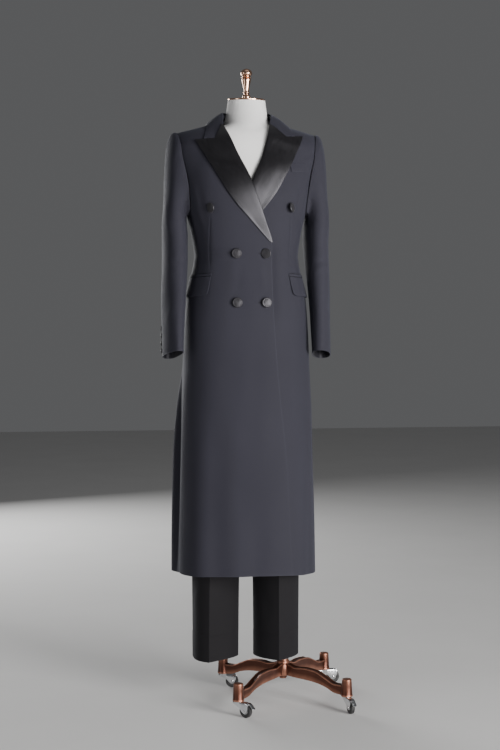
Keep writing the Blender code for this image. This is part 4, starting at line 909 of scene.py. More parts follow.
# Darts of the fronts, and the dip of the under front where the other's edge lies on it.
DART_X = 0.111
DART_COLUMN = 26
DART_REACH = 0.62
DART_LOW, DART_HIGH, DART_FADE = 1.206, 1.354, 0.02
DART_DEPTH, DART_WIDTH = 0.001, 0.0012
DIP_DEPTH, DIP_WIDTH = 0.0046, 0.016
# The hem hangs a little higher in front and lower at the wearer's left side and behind.
HEM_RISE = 0.006
HEM_SIDE_DROP = 0.005
HEM_BACK_DROP = 0.016
HEM_REACH = 0.62
HEM_SIDE_TURN = 84.0


def armhole_edge(z, side):
    return curve_through(ARMHOLE, side, z)


def cap_edge(share, side):
    return curve_through(ARMHOLE_CAP, side, share, key="share")


def front_edge(z, word):
    """How far across the middle the front edge lies at this height; below 0 it is on its own side."""
    return curve_through(FRONT_EDGE, "x", z) + curve_through(NECKLINE_LEAN, word, z)


def front_rows(side, word):
    rows = []
    ends = [(z, armhole_edge(z, "front") if z > SIDE_TOP else SIDE_SEAM - HALF_SEAM, None) for z in LEVELS]
    ends += [(mix(1.56, 1.64, math.sin(s * math.pi / 2)), cap_edge(s, "front"), s) for s in CAP_SHARES]
    for z, outer, share in ends:
        inner = angle_at(front_edge(z, word) * -side, z)
        outer = side * outer
        dart = angle_at(side * DART_X, z)
        reach = math.copysign(DART_REACH, outer - inner)
        line = steps(inner, dart - reach, DART_COLUMN) + [dart - reach * 0.5, dart, dart + reach * 0.5]
        line += steps(dart + reach, outer, FRONT_COLUMNS - DART_COLUMN)
        rows.append([(a, z if share is None else cap_row_height(a, share)) for a in line])
    return rows


def back_rows(side):
    rows = []
    for z in LEVELS:
        outer = armhole_edge(z, "back") if z > SIDE_TOP else BACK_SEAM + HALF_SEAM
        rows.append([(a, z) for a in steps(side * outer, side * 180.0, BACK_COLUMNS)])
    for share in CAP_SHARES:
        line = steps(side * cap_edge(share, "back"), side * 180.0, BACK_COLUMNS)
        rows.append([(a, cap_row_height(a, share, True)) for a in line])
    return rows


def side_rows(side):
    line = steps(side * (SIDE_SEAM + HALF_SEAM), side * (BACK_SEAM - HALF_SEAM), SIDE_COLUMNS)

    def top(angle):
        rise = abs(2.0 * abs(angle) - SIDE_SEAM - BACK_SEAM) / (BACK_SEAM - SIDE_SEAM)
        return mix(ARMPIT, SIDE_TOP, rise ** HOLLOW_POWER)

    return [[(a, mix(COAT_HEM, top(a), share)) for a in line] for share in steps(0.0, 1.0, SIDE_ROWS)]


def sunk(side, turns, heights):
    """How deep the darts of a front and the dip under the other's edge are."""
    def away_from(x_at):
        middles = [[angle_at(x_at(float(z)), float(z))] for z in heights[:, 0]]
        return (turns - np.array(middles)) * METRES_A_DEGREE["coat"]

    fade = np.clip((heights - DART_LOW) / DART_FADE, 0, 1) * np.clip((DART_HIGH - heights) / DART_FADE, 0, 1)
    depth = DART_DEPTH * bell(away_from(lambda z: side * DART_X), 0.0, DART_WIDTH) * fade
    if side > 0:
        # angle_at is odd, so this is where the other front's edge lies
        dip = DIP_DEPTH * bell(away_from(lambda z: front_edge(z, "left")), 0.0, DIP_WIDTH)
        depth += dip * smooth_steps(heights, 1.28, 1.255) * smooth_steps(heights, 1.02, 1.12)
    return depth


def hem_rise(turns):
    rise = HEM_RISE * np.exp(-((turns + 5.0) / 52.0) ** 4)
    rise -= HEM_SIDE_DROP * bell(turns, HEM_SIDE_TURN, 24.0)
    return rise - HEM_BACK_DROP * smooth_steps(np.abs(turns), HEM_SIDE_TURN, 112.0)


def build_coat():
    for side, word in SIDES:
        panels = (("front", front_rows(side, word)), ("side", side_rows(side)), ("back", back_rows(side)))
        for part, rows in panels:
            name = "coat_%s_%s" % (part, word)
            rows = [row[::side] for row in rows]
            lift = PANEL_LIFT[word] if part == "front" else flat_lift
            turns, heights = np.moveaxis(np.array(rows), 2, 0)
            grid = as_grid([[body_point(a, h) for a, h in row] for row in rows])
            normals = grid_normals(grid)
            up = np.array([[lift(a, h) for a, h in row] for row in rows]) + coat_ease(turns, heights)
            if part == "front":
                up -= sunk(side, turns, heights)
            rise = hem_rise(turns) * smooth_steps(grid[..., 2], HEM_REACH, COAT_HEM)
            sheets = [grid + normals * up[..., None], grid + normals * (up - CLOTH)[..., None]]
            for sheet in sheets:
                sheet[..., 2] += rise
                if part == "back":
                    sheet[:, -1 if side > 0 else 0, 0] = side * 0.5 * SEAM
            declare(cloth_wall(name, *sheets, (WOOL, LINING)), [name], "grey_wool")


# --- Lapels and collar ---
LAPEL_ROWS = 76
LAPEL_FACE = 0.0038
ROLL_RISE = 0.0007
ROLL_AHEAD, ROLL_UP = 0.0012, 0.00135
ROLL_OUTER, ROLL_INNER = (0.0024, 0.00235), (0.0004, 0.00035)
EDGE_CURL = 0.0011
FULLNESS, FULLEST_Z, FULL_REACH = 0.0036, 1.505, 0.065
PEAK_FACE = 0.0007
NEAR_NOTCH = (0.08, 0.16, 0.27, 0.39, 0.53, 0.69, 0.85)
PAST_NOTCH = (0.0, 0.14, 0.27, 0.39, 0.5, 0.61, 0.72, 0.82, 0.9, 0.96, 1.0)


def lapel_place(roll_z, share, word):
    side = -1 if word == "right" else 1
    near_top = smooth_step(roll_z, 1.47, 1.612)
    edge_x, edge_z, dip = row_at(LAPEL, roll_z, "roll_z")
    edge_z += PEAK_RISE[word][0] * near_top
    dip += PEAK_RISE[word][1] * near_top
    notch = NOTCH_SHARE[word]
    dip *= share / notch if share < notch else (1.0 - share) / (1.0 - notch)
    return side * mix(-front_edge(roll_z, word), edge_x, share), mix(roll_z, edge_z, share) - dip


def even_out(grid, times):
    """The grid with small waves along its columns taken out; its first and last rows stay."""
    for _ in range(times):
        grid[1:-1] = 0.25 * grid[:-2] + 0.5 * grid[1:-1] + 0.25 * grid[2:]
    return grid


def lapel_shares(word):
    """Shares of the way from the roll to the edge, closer at the roll and the edge, with one at the notch."""
    notch = NOTCH_SHARE[word]
    return [0.012] + [notch * part for part in NEAR_NOTCH] + [mix(notch, 1.0, part) for part in PAST_NOTCH]


def lapel_height(share, roll_z):
    """The lapel's outer face over the front: a soft roll at the fold, an outer edge that stands off."""
    roll = ROLL_RISE * bell(share, 0.14, 0.12) * smooth_step(roll_z, 1.33, 1.46)
    curl = EDGE_CURL * smooth_step(share, 0.72, 1.0) * smooth_step(roll_z, 1.29, 1.36)
    full = FULLNESS * bell(roll_z, FULLEST_Z, FULL_REACH) * (0.35 + 0.65 * math.sin(math.pi * share))
    return LAPEL_FACE + roll + curl + full + PEAK_FACE * smooth_step(roll_z, 1.49, 1.54)


def build_lapel(word, side):
    sheets = ([], [])
    for roll_z in steps(LAPEL[0].roll_z, LAPEL[-1].roll_z, LAPEL_ROWS):
        x, z = lapel_place(roll_z, 0.0, word)
        edge = front_place(word, x, z, 0.0)
        ahead = (edge - front_place(word, x + side * 0.004, z, 0.0)).normalized()
        up = (front_place(word, x, z, 0.004) - edge).normalized()
        lines = ([], [])
        for turn in steps(-90.0, 90.0, 9):
            cosine, sine = math.cos(math.radians(turn)), math.sin(math.radians(turn))
            for line, (wide, high) in zip(lines, (ROLL_OUTER, ROLL_INNER)):
                line.append(edge + ahead * (ROLL_AHEAD + wide * cosine) + up * (ROLL_UP + high * sine))
        for share in lapel_shares(word):
            height = lapel_height(share, roll_z)
            for line, below in zip(lines, (0.0, CLOTH)):
                line.append(front_place(word, *lapel_place(roll_z, share, word), height - below))
        for sheet, line in zip(sheets, lines):
            sheet.append(line)
    piece = cloth_wall("lapel_" + word, *[even_out(as_grid(sheet), 14) for sheet in sheets], (SATIN,))
    declare(piece, ["lapel_" + word], "satin")


def collar_station(share):
    x, y, z, edge_x, edge_y = row_at(COLLAR, share, "share")
    return Vector((x, y, z)), Vector((edge_x, edge_y, cap_z(edge_x, edge_y) + COLLAR_LIFT))


def collar_row(share, word):
    crease, edge = collar_station(share)
    crease.x += CREASE_LEAN[word] * smooth_step(share, 0.3, 0.0)
    outwards = Vector((edge.x - crease.x, edge.y - crease.y, 0.0)).normalized()
    line = [crease - outwards * FOLD_IN + Vector((0, 0, -FOLD_DOWN)), crease.copy()]
    at_gorge = smooth_step(share, 0.2, 0.0)
    for end in GORGE_END:
        point = crease.lerp(edge, end.part)
        floor = cap_z(point.x, point.y) + COLLAR_LIFT
        point.z = max(point.z + 0.004 * math.sin(math.pi * end.part), floor)
        x, z = getattr(end, word)
        face = body_point(angle_at(x, z), height_of(x, z)).y - COLLAR_LIFT - GORGE_LIFT[word]
        point = point.lerp(Vector((x, face, z)), at_gorge)
        point.y -= 0.001 * math.sin(math.pi * at_gorge) * smooth_step(end.part, 0.0, 0.5)
        line.append(point)
    return line


def neckline(share):
    if share < SHOULDER_SHARE:
        part = (share - STAND_FIRST) / (SHOULDER_SHARE - STAND_FIRST)
        x = -curve_through(FRONT_EDGE, "x", mix(1.628, 1.64, part))
        y = mix(-0.028, SHOULDER_SEAM_Y, part)
        return Vector((x, y, cap_z(x, y) + STAND_RISE))
    x = NECK_POINT_X * (1.0 - ((share - SHOULDER_SHARE) / (1.0 - SHOULDER_SHARE)) ** 1.4)
    turn = mix(BACK_NECK_CAP, math.pi / 2, min(x / NECK_POINT_X, 1.0) ** BACK_NECK_POWER)
    base = cap_base(x)
    y = mix(SHOULDER_SEAM_Y, curve_through(COAT, "back", base), math.cos(turn))
    return Vector((x, y, base + cap_height(x) * math.sin(turn) + STAND_RISE))


def build_collar():
    shares = steps(0.0, 1.0, 54)
    rows = [[mirrored(p) for p in along_curve(collar_row(share, "right"), 4)] for share in shares]
    rows += [along_curve(collar_row(share, "left"), 4) for share in reversed(shares[:-1])]
    piece = wall_of("collar", as_grid(rows), CLOTH, WOOL, (0.0, 0.0, 1.5))
    declare(piece, ["collar"], "grey_wool")
    stand = []
    for share in steps(STAND_FIRST, 1.0, 40):
        crease, edge = collar_station(share)
        inwards = Vector((crease.x - edge.x, crease.y - edge.y, 0.0)).normalized()
        top = crease + inwards * STAND_INSET + Vector((0, 0, -STAND_DROP))
        foot = neckline(share) + inwards * STAND_GAP
        stand.append([foot.lerp(top, part) for part in steps(0.0, 1.0, 5)])
    rows = [[mirrored(p) for p in row] for row in stand] + stand[-2::-1]
    piece = wall_of("collar_stand", as_grid(rows), STAND_CLOTH, WOOL, (0.0, 0.02, 1.64))
    declare(piece, ["collar_stand"], "grey_wool")


# --- Sleeves ---
SLEEVE_POINTS = 80
UNDER_FIRST = 56
UNDER_LAST = 92
ROUNDNESS = 0.92
HEAD_GAP, HEAD_TUCK, HEAD_OUT = 0.0034, 0.0022, 0.0008
CUFF_BUTTON_Z, CUFF_BUTTON_STEP = 0.992, 0.0185
CUFF_HOLLOW = 0.0062


def even_points(line, count):
    lengths = [0.0]
    for a, b in zip(line, line[1:]):
        lengths.append(lengths[-1] + (b - a).length)
    found = []
    i = 0
    for k in range(count):
        wanted = lengths[-1] * k / count
        while lengths[i + 1] < wanted:
            i += 1
        found.append(line[i].lerp(line[i + 1], (wanted - lengths[i]) / (lengths[i + 1] - lengths[i])))
    return found


def armhole_loop():
    lowest = (SIDE_SEAM + BACK_SEAM) / 2
    halves = []
    for side, seam in (("front", SIDE_SEAM), ("back", BACK_SEAM)):
        line = []
        for share in steps(0.0, 0.95, 8):
            line.append(body_point(mix(lowest, seam, share), mix(ARMPIT, SIDE_TOP, share ** HOLLOW_POWER)))
        line += [body_point(armhole_edge(z, side), z) for z in steps(SIDE_TOP, CAP_FOOT, 18)]
        for share in steps(0.0, LAST_SHARE, 12):
            line.append(body_point(cap_edge(share, side), cap_row_height(cap_edge(share, side), share)))
        line.append(Vector((line[-1].x, SHOULDER_SEAM_Y, line[-1].z)))
        halves.append(line)
    return even_points(halves[0], SLEEVE_POINTS // 2) + even_points(halves[1][::-1], SLEEVE_POINTS // 2)


def sleeve_ring(z, count=SLEEVE_POINTS):
    x, y, width, depth, turn = row_at(SLEEVE, z)
    ring = []
    for k in range(count):
        angle = 2 * math.pi * k / count
        across = math.copysign(abs(math.cos(angle)) ** ROUNDNESS, math.cos(angle)) * -width
        along = math.copysign(abs(math.sin(angle)) ** ROUNDNESS, math.sin(angle)) * -depth
        offset = Matrix.Rotation(math.radians(-turn), 3, "Z") @ Vector((across, along, 0.0))
        slope = CUFF_SLOPE * smooth_step(z, 1.08, SLEEVE[-1].z)
        ring.append(Vector((x, y, z)) + offset - Vector((0, 0, slope * offset.y)))
    return ring


def sleeve_sheet():
    """The sleeve's rings from armhole to cuff; its head is a smooth curve out of the armhole and down."""
    loop = armhole_loop()
    middle = sum(loop, Vector()) / len(loop)
    first = sleeve_ring(SLEEVE[0].z)
    rows = []
    for part in steps(0.0, 0.96, 26):
        row = []
        for edge, end in zip(loop, first):
            away = Vector((0.0, edge.y - middle.y, edge.z - middle.z)).normalized()
            high = smooth_step(away.z, 0.3, 1.0)
            start = edge + away * (CLOTH + HEAD_GAP - HEAD_TUCK * high) + Vector((HEAD_OUT, 0.0, 0.0))
            drop = edge.z - end.z
            outwards = Vector((1.0 + 0.75 * high, 0.15 * away.y, -0.04 * high)) * (0.006 + 0.055 * drop)
            hang = end + Vector((-0.0095 * high, 0, 0.55 * drop))
            a = start.lerp(start + outwards, part)
            b = (start + outwards).lerp(hang, part)
            c = hang.lerp(end, part)
            row.append(a.lerp(b, part).lerp(b.lerp(c, part), part))
        rows.append(row)
    return as_grid(rows + [sleeve_ring(z) for z in steps(SLEEVE[0].z, SLEEVE[-1].z, 52)])


def build_sleeves():
    grid = sleeve_sheet()
    normals = grid_normals(grid, True)
    if ((grid - grid.mean(axis=1, keepdims=True)) * normals).sum() < 0.0:
        normals = -normals
    turns = np.broadcast_to(np.arange(SLEEVE_POINTS) * 360.0 / SLEEVE_POINTS, grid.shape[:2])
    heights = grid[..., 2]
    ease = folds_at(turns, heights, SLEEVE_FOLDS, METRES_A_DEGREE["sleeve"])
    ease += 0.0005 * np.sin(turns * 0.05 + heights * 37.0) * smooth_steps(heights, 1.52, 1.44)
    parts = (("top", UNDER_LAST - SLEEVE_POINTS, UNDER_FIRST), ("under", UNDER_FIRST, UNDER_LAST))
    for side, word in SIDES:
        for part, first, last in parts:
            name = "sleeve_%s_%s" % (part, word)
            columns = [c % SLEEVE_POINTS for c in range(first, last + 1)]
            ups = normals[:, columns]
            sheet = grid[:, columns] + ups * ease[:, columns][..., None]
            if side < 0:
                hollow = smooth_steps(sheet[..., 0], 0.216, 0.186)
                sheet[..., 0] += CUFF_HOLLOW * hollow * smooth_steps(sheet[..., 2], 1.12, 0.985)
            for end, beside in ((0, 1), (-1, -2)):
                way = sheet[:, beside] - sheet[:, end]
                sheet[:, end] += way / np.linalg.norm(way, axis=1, keepdims=True) * SEAM * 0.5
            flip = MIRROR if side < 0 else 1.0
            piece = cloth_wall(name, sheet * flip, (sheet - ups * CLOTH) * flip, (WOOL, LINING))
            declare(piece, [name], "grey_wool")
        for k in range(4):
            ring = sleeve_ring(CUFF_BUTTON_Z + CUFF_BUTTON_STEP * k, 20)
            seat = ring[13].lerp(ring[14], 0.35)
            way = (ring[14] - ring[13]).cross(Vector((0, 0, 1)))
            inside = Vector(sum(ring, Vector()) / 20)
            way = -way.normalized() if way.dot(seat - inside) < 0 else way.normalized()
            if side < 0:
                seat, way = mirrored(seat), mirrored(way)
            build_button("cuff_button_%s_%d" % (word, k + 1), seat + way * 0.0009, way, CUFF_BUTTON, 28)


# --- Buttons ---
FRONT_BUTTON = (
    (0.0, 0.003), (0.0034, 0.0029), (0.0037, 0.006), (0.004, 0.0118), (0.0046, 0.0131), (0.0054, 0.0138),
    (0.0064, 0.0139), (0.0073, 0.0136), (0.008, 0.0129), (0.0084, 0.0121), (0.0085, 0.0113), (0.0083, 0.0106),
    (0.0084, 0.0098), (0.0087, 0.008), (0.009, 0.0052), (0.0091, 0.0022),
)
CUFF_BUTTON = (
    (0.0, 0.0058), (0.0009, 0.0071), (0.0017, 0.0074), (0.0026, 0.0073), (0.0032, 0.0064), (0.0036, 0.0046),
    (0.0038, 0.002),
)
# tilt turns a button about the upright and lean about the X axis, as its thread lets it hang.
BUTTONS = table(
    "name x z word tilt lean",
    ("button_1_right", -0.106, 1.379, "right", -30.0, 6.0),
    ("button_1_left", 0.107, 1.379, "left", 34.0, -18.0),
    ("button_2_right", -0.041, 1.253, "right", -3.0, 3.0),
    ("button_2_left", 0.04, 1.253, "right", -32.0, 2.0),
    ("button_3_right", -0.04, 1.117, "right", -4.0, 3.0),
    ("button_3_left", 0.04, 1.117, "right", -4.0, 2.0),
)
HOLE_START, HOLE_END, HOLE_POINTS = 0.0375, 0.0165, 10
PUCKER, FINE_PUCKER = 0.00018, 0.00008
STITCH, STITCH_STEP = 0.00012, 0.0011


def build_button(name, seat, way, profile, segments):
    """A satin-covered button: the cover is drawn over the rim and puckers a little on top."""
    place = Matrix.Translation(seat) @ way.to_track_quat("Z", "Y").to_matrix().to_4x4()
    rings = turned_rings(profile, segments)
    wide = max(r for z, r in profile)
    phase = sum(ord(letter) for letter in name) % 17
    for ring in rings[2:]:
        for point in ring:
            turn = math.atan2(point.y, point.x)
            out = math.hypot(point.x, point.y) / wide
            pucker = PUCKER * math.sin(3 * turn + phase) * out
            pucker += FINE_PUCKER * math.sin(9 * turn + phase) * out * out
            point.z += pucker if point.z > 0.4 * profile[-1][0] else 0.0
    made = solid_of_rings(name, rings, BUTTON_SATIN, 30.0, place=place)
    flat = made.data.uv_layers["cloth"].data
    turn_back = place.inverted()
    for loop in made.data.loops:
        local = turn_back @ (made.data.vertices[loop.vertex_index].co - SHIFT)
        flat[loop.index].uv = (local.x, local.y)
    stand_in(made, "satin", name)


def build_buttons():
    for button in BUTTONS:
        tip = abs(math.sin(math.radians(button.tilt))) * SHANK_RADIUS
        seat = front_place(button.word, button.x, button.z, 0.0005 + tip)
        nod = Matrix.Rotation(math.radians(button.lean), 3, "X")
        normal = body_normal(angle_at(button.x, button.z), button.z)
        way = Matrix.Rotation(math.radians(button.tilt), 3, "Z") @ nod @ normal
        build_button(button.name, seat, way, FRONT_BUTTON, 48)


def build_buttonholes():
    """Corded slits behind the two closed buttons of the wearer's left row."""
    for number, z in ((2, 1.253), (3, 1.117)):
        rows = []
        for x in steps(HOLE_START, HOLE_END, 30):
            rise = math.sin(math.pi * (HOLE_START - x) / 0.021) ** 0.25
            half = (0.0011 + STITCH * math.sin((x * 2 * math.pi) / STITCH_STEP)) * max(rise, 0.25)
            row = []
            for k in range(HOLE_POINTS):
                turn = 2 * math.pi * k / HOLE_POINTS
                up = 0.0006 + 0.0006 * math.sin(turn) * max(rise, 0.3)
                row.append(front_place("right", x, z + half * math.cos(turn), up))
            rows.append(row)
        stand_in(solid_of_rings("buttonhole_%d" % number, rows, TROUSER_WOOL, 60.0), "grey_wool")


# --- Pockets ---
PATCHES = table(
    "name x_top x_bottom far_angle top bottom far_drop outer columns rows",
    ("flap", 0.108, 0.117, 99.0, 1.1888, 1.136, 0.006, 0.0028, 34, 15),
    ("jet", 0.1065, 0.1065, 100.0, 1.1974, 1.191, 0.005, 0.0022, 34, 5),
)
# Dark cords along the gaps above and below each pocket's jet, standing in as painted shadow of the gaps.
SLIT_SHADOWS = table(
    "name x z far_angle drop",
    ("over", 0.1065, 1.1984, 99.0, 0.005), ("under", 0.1065, 1.1898, 99.0, 0.0055),
)
SLIT_SHADOW_POINTS = 8
WELT_START, WELT_END, WELT_Z = 0.1085, 0.1585, 1.5
FLAP_CORNER = 0.006
FLAP_STAND_OFF = 0.003
JET_PUFF = 0.0005


def patch_wall(name, patch, word, first_top, first_bottom):
    """A flat piece on the body between two edges; a flap's free corner is rounded and stands off a little."""
    side = -1 if word == "right" else 1
    is_flap = patch.name == "flap"
    sheets = ([], [])
    for part in steps(0.0, 1.0, patch.rows):
        stand_off = FLAP_STAND_OFF * (1.0 - part) ** 1.6 if is_flap else 0.0
        puff = 0.0 if is_flap else JET_PUFF * math.sin(math.pi * part)
        lines = ([], [])
        for share in steps(0.0, 1.0, patch.columns):
            angle = side * mix(mix(first_bottom, first_top, part), patch.far_angle, share)
            z = mix(patch.bottom, patch.top, part) - patch.far_drop * share
            if is_flap:
                corner = max(0.0, 1.0 - share / 0.1) ** 2 + max(0.0, (share - 0.9) / 0.1) ** 2
                z += FLAP_CORNER * corner * (1.0 - part) ** 2
            for line, up in zip(lines, (patch.outer + stand_off + puff, 0.0008 + stand_off)):
                line.append(on_coat(word, angle, z, up))
        for sheet, line in zip(sheets, lines):
            sheet.append(line[::side])
    return cloth_wall(name, *[as_grid(sheet) for sheet in sheets], (WOOL,))


def build_slit_shadow(shadow_line, side, word):
    """A dark cord along the gap between two edges of a pocket: a painted shadow of the gap."""
    start = angle_at(shadow_line.x, shadow_line.z)
    rows = []
    for share in steps(0.0, 1.0, 30):
        rise = 0.25 + 0.75 * math.sin(math.pi * share) ** 0.25
        angle = side * mix(start, shadow_line.far_angle, share)
        row = []
        for k in range(SLIT_SHADOW_POINTS):
            turn = 2 * math.pi * k / SLIT_SHADOW_POINTS
            z = shadow_line.z - shadow_line.drop * share + 0.0008 * rise * math.cos(turn)
            row.append(on_coat(word, angle, z, 0.0007 + 0.0006 * rise * math.sin(turn)))
        rows.append(row)
    stand_in(solid_of_rings("pocket_slit_%s_%s" % (shadow_line.name, word), rows, TROUSER_WOOL, 60.0), "grey_wool")


def build_pockets():
    for side, word in SIDES:
        # painted shadow: dark cords in the pocket's gaps
        for shadow_line in SLIT_SHADOWS:
            build_slit_shadow(shadow_line, side, word)
        flap, jet = [
            patch_wall("pocket_%s_%s" % (patch.name, word), patch, word, angle_at(patch.x_top, patch.top),
                       angle_at(patch.x_bottom, patch.bottom))
            for patch in PATCHES
        ]
        stand_in(jet, "grey_wool", "pocket_jet_" + word)
        declare(flap, ["pocket_flap_" + word], "grey_wool")
    first = angle_at(WELT_START, WELT_Z)
    welt = PATCHES[1]._replace(name="welt", far_angle=angle_at(WELT_END, WELT_Z), top=1.501, bottom=1.479,
                               far_drop=-0.002, outer=0.0019, columns=16, rows=8)
    piece = patch_wall("breast_welt", welt, "left", first, first)
    declare(piece, ["breast_welt"], "grey_wool")


# --- Trousers ---
TROUSER_CLOTH = 0.0018
TROUSER_COLUMNS = 49
TURN_UP = 0.204
TROUSER_TOP = 1.0862
# How far each leg's crease lies from the middle of the leg.
CREASE_SHIFT = {"right": 0.028, "left": -0.004}
HEM_LINE_Z = 0.194
HEM_STEP, HEM_LINE_DEPTH = 0.0009, 0.0008
BAND_DEPTH, BAND_CLOTH = 0.0042, 0.003


def leg_point(turn, z, crease_shift):
    inner, outer, y, depth = row_at(LEG, z)
    across = -math.cos(math.radians(turn))
    x = mix(inner, outer, 0.5 * (across + 1.0)) + crease_shift * (1.0 - across * across)
    side = -1.0 if turn < 180.0 else 1.0
    return Vector((x, y + side * depth * (1.0 - abs(across)) ** 0.55, z))


def seat_point(turn, z):
    depth = mix(0.0125, 0.005, smooth_step(z, 0.96, 1.08))
    return lifted(max(turn / 2.0, 0.05), z, -depth, with_fold=False)


def trouser_point(turn, z, crease_shift):
    leg = smooth_step(z, 0.97, CROTCH_Z)
    if leg <= 0.0:
        return seat_point(turn, z)
    if leg >= 1.0:
        return leg_point(turn, z, crease_shift)
    return seat_point(turn, z).lerp(leg_point(turn, max(z, CROTCH_Z), crease_shift), leg)


def build_trousers():
    levels = steps(TROUSER_HEM, TURN_UP, 22) + steps(TURN_UP, CROTCH_Z, 50)[1:]
    levels += steps(CROTCH_Z, TROUSER_TOP, 22)[1:]
    for side, word in SIDES:
        for half, forward in (("front", -1.0), ("back", 1.0)):
            rows = []
            for z in levels:
                shift = CREASE_SHIFT[word] * smooth_step(z, 0.8, 0.3)
                line = []
                for turn in steps(0.0, 180.0, TROUSER_COLUMNS):
                    point = trouser_point(turn if half == "front" else 360.0 - turn, z, shift)
                    point.x = max(point.x, 0.5 * SEAM)
                    line.append(point)
                if z <= CROTCH_Z:
                    line[0].y += forward * 0.5 * SEAM
                line[-1].y += forward * 0.5 * SEAM
                rows.append(line)
            grid = as_grid(rows)
            heights = grid[..., 2]
            turns = np.broadcast_to(np.linspace(0.0, 180.0, TROUSER_COLUMNS), grid.shape[:2])
            normals = grid_normals(grid) * -forward
            ease = folds_at(turns, heights, LEG_FOLDS, METRES_A_DEGREE["leg"])
            ease += 0.0012 * np.sin(heights * 12.0 + turns * 0.03 + side)
            ease += HEM_STEP * smooth_steps(heights, 0.196, 0.188)
            ease -= HEM_LINE_DEPTH * bell(heights, HEM_LINE_Z, 0.004)
            ease *= np.sin(np.radians(turns)) ** 0.5 * smooth_steps(heights, 1.05, 0.8)
            outer = grid + normals * (forward * ease)[..., None]
            inner = outer - normals * TROUSER_CLOTH
            inner[:, -1, 1] = outer[:, -1, 1]
            low = heights[:, 0] <= CROTCH_Z
            inner[low, 0, 1] = outer[low, 0, 1]
            inner[~low, 0, 0] = outer[~low, 0, 0]
            flip = MIRROR if side < 0 else 1.0
            name = "trouser_%s_%s" % (half, word)
            piece = cloth_wall(name, outer * flip, inner * flip, (TROUSER_WOOL, LINING))
            declare(piece, [name], "black_wool")
    band = as_grid([
        [lifted(a, z, -BAND_DEPTH, with_fold=False) for a in steps(-180.0, 177.5, 144)]
        for z in steps(WAISTBAND_BOTTOM, WAISTBAND_TOP, 6)
    ])
    piece = wall_of("waistband", band, BAND_CLOTH, TROUSER_WOOL, (0.0, 0.0, 1.1), True)
    declare(piece, ["waistband"], "black_wool")


# --- Dress form ---
FORM_LEVELS = (FORM_BOTTOM, 1.03, 1.075, 1.12, 1.17, 1.21, 1.26, 1.31, 1.365, 1.42, 1.47, 1.51)
FORM_POINTS = 120
FORM_GAP = 0.0036
FORM_SINK = 0.008
NECK_PLATE = (
    (0.0, 0.0515), (0.0008, NECK_PLATE_RADIUS), (0.003, NECK_PLATE_RADIUS), (0.004, 0.0519),
    (0.0047, 0.0509), (NECK_PLATE_THICKNESS, 0.049), (NECK_PLATE_THICKNESS, 0.047), (0.0046, 0.0462),
    (0.0046, 0.018), (NECK_PLATE_THICKNESS, 0.0172), (NECK_PLATE_THICKNESS, 0.012),
)


def form_depth(z):
    low = mix(0.0165, 0.0082, smooth_step(z, 1.04, 1.1))
    return mix(low, CLOTH + FORM_GAP, smooth_step(z, 1.4, 1.52))


def neck_ring(ring, turns):
    line = []
    for t in map(math.radians, turns):
        depth = ring.front if math.cos(t) > 0.0 else ring.back
        tip = -depth * math.cos(t) * math.tan(NECK_TILT) * smooth_step(ring.z, 1.65, NECK_TOP)
        line.append(Vector((NECK_LEAN + ring.width * math.sin(t), NECK_Y - depth * math.cos(t), ring.z + tip)))
    return line


def build_form():
    turns = [-180.0 + 360.0 * k / FORM_POINTS for k in range(FORM_POINTS)]
    rings = [[lifted(a, z, -form_depth(z), with_fold=False) for a in turns] for z in FORM_LEVELS]
    base = neck_ring(NECK[0], turns)
    top = [body_point(a, cap_base(section_point(a, CAP_LEVEL)[0]), False) for a in turns]
    for share in (0.0, 0.25, 0.5, 0.74):
        ring = []
        for start, end in zip(top, base):
            x = mix(start.x, end.x, share)
            y = mix(start.y, end.y, share)
            low = CLOTH + FORM_GAP + 0.0035 * share
            ring.append(Vector((x * 0.975, y * 0.955, min(cap_z(x, y), NECK[0].z + 0.002) - low)))
        rings.append(ring)
    rings += [neck_ring(ring, turns) for ring in NECK]
    for point in rings[0]:
        point.z = FORM_BOTTOM
    dense = as_grid(zip(*[along_curve(column, 5) for column in zip(*rings)]))
    ahead = smooth_steps(np.cos(np.radians(turns)), 0.25, 0.8)[None, :, None]
    heights = dense[..., 2:]
    by_neck = ahead * (smooth_steps(heights, 1.545, 1.585) * smooth_steps(heights, 1.682, 1.65))
    dense += by_neck * (even_out(dense.copy(), 40) - dense)
    dense = [[Vector(point) for point in row] for row in dense]
    under = []
    for s in (0.0, 0.3, 0.6, 0.85):
        wide, deep, sink = mix(0.9, 1.0, s), mix(0.88, 1.0, s), FORM_SINK * (1.0 - s) ** 2
        under.append([Vector((p.x * wide, p.y * deep, p.z - sink)) for p in dense[0]])
    form = stand_in(solid_of_rings("dress_form", under + dense, LINEN, 50.0), "white_linen", "dress_form")

    place = Matrix.Translation((NECK_LEAN, NECK_Y, NECK_TOP + SEAM)) @ Matrix.Rotation(NECK_TILT, 4, "X")
    stand_in(turned("neck_plate", NECK_PLATE, 96, ROSE_GOLD, 30.0, place), "rose_gold", "neck_plate")
    place = Matrix.Translation((NECK_LEAN, NECK_Y, NECK_TOP + NECK_PLATE_THICKNESS + 2 * SEAM))
    line = along_curve([(row.r, 0.0, row.z) for row in FINIAL], 4)
    profile = [(-0.0025, FINIAL[0].r)] + [(point.z, max(point.x, 0.0008)) for point in line]
    profile.append((FINIAL[-1].z + 0.0006, 0.0012))
    stand_in(turned("finial", profile, 64, ROSE_GOLD, 50.0, place), "rose_gold", "finial")


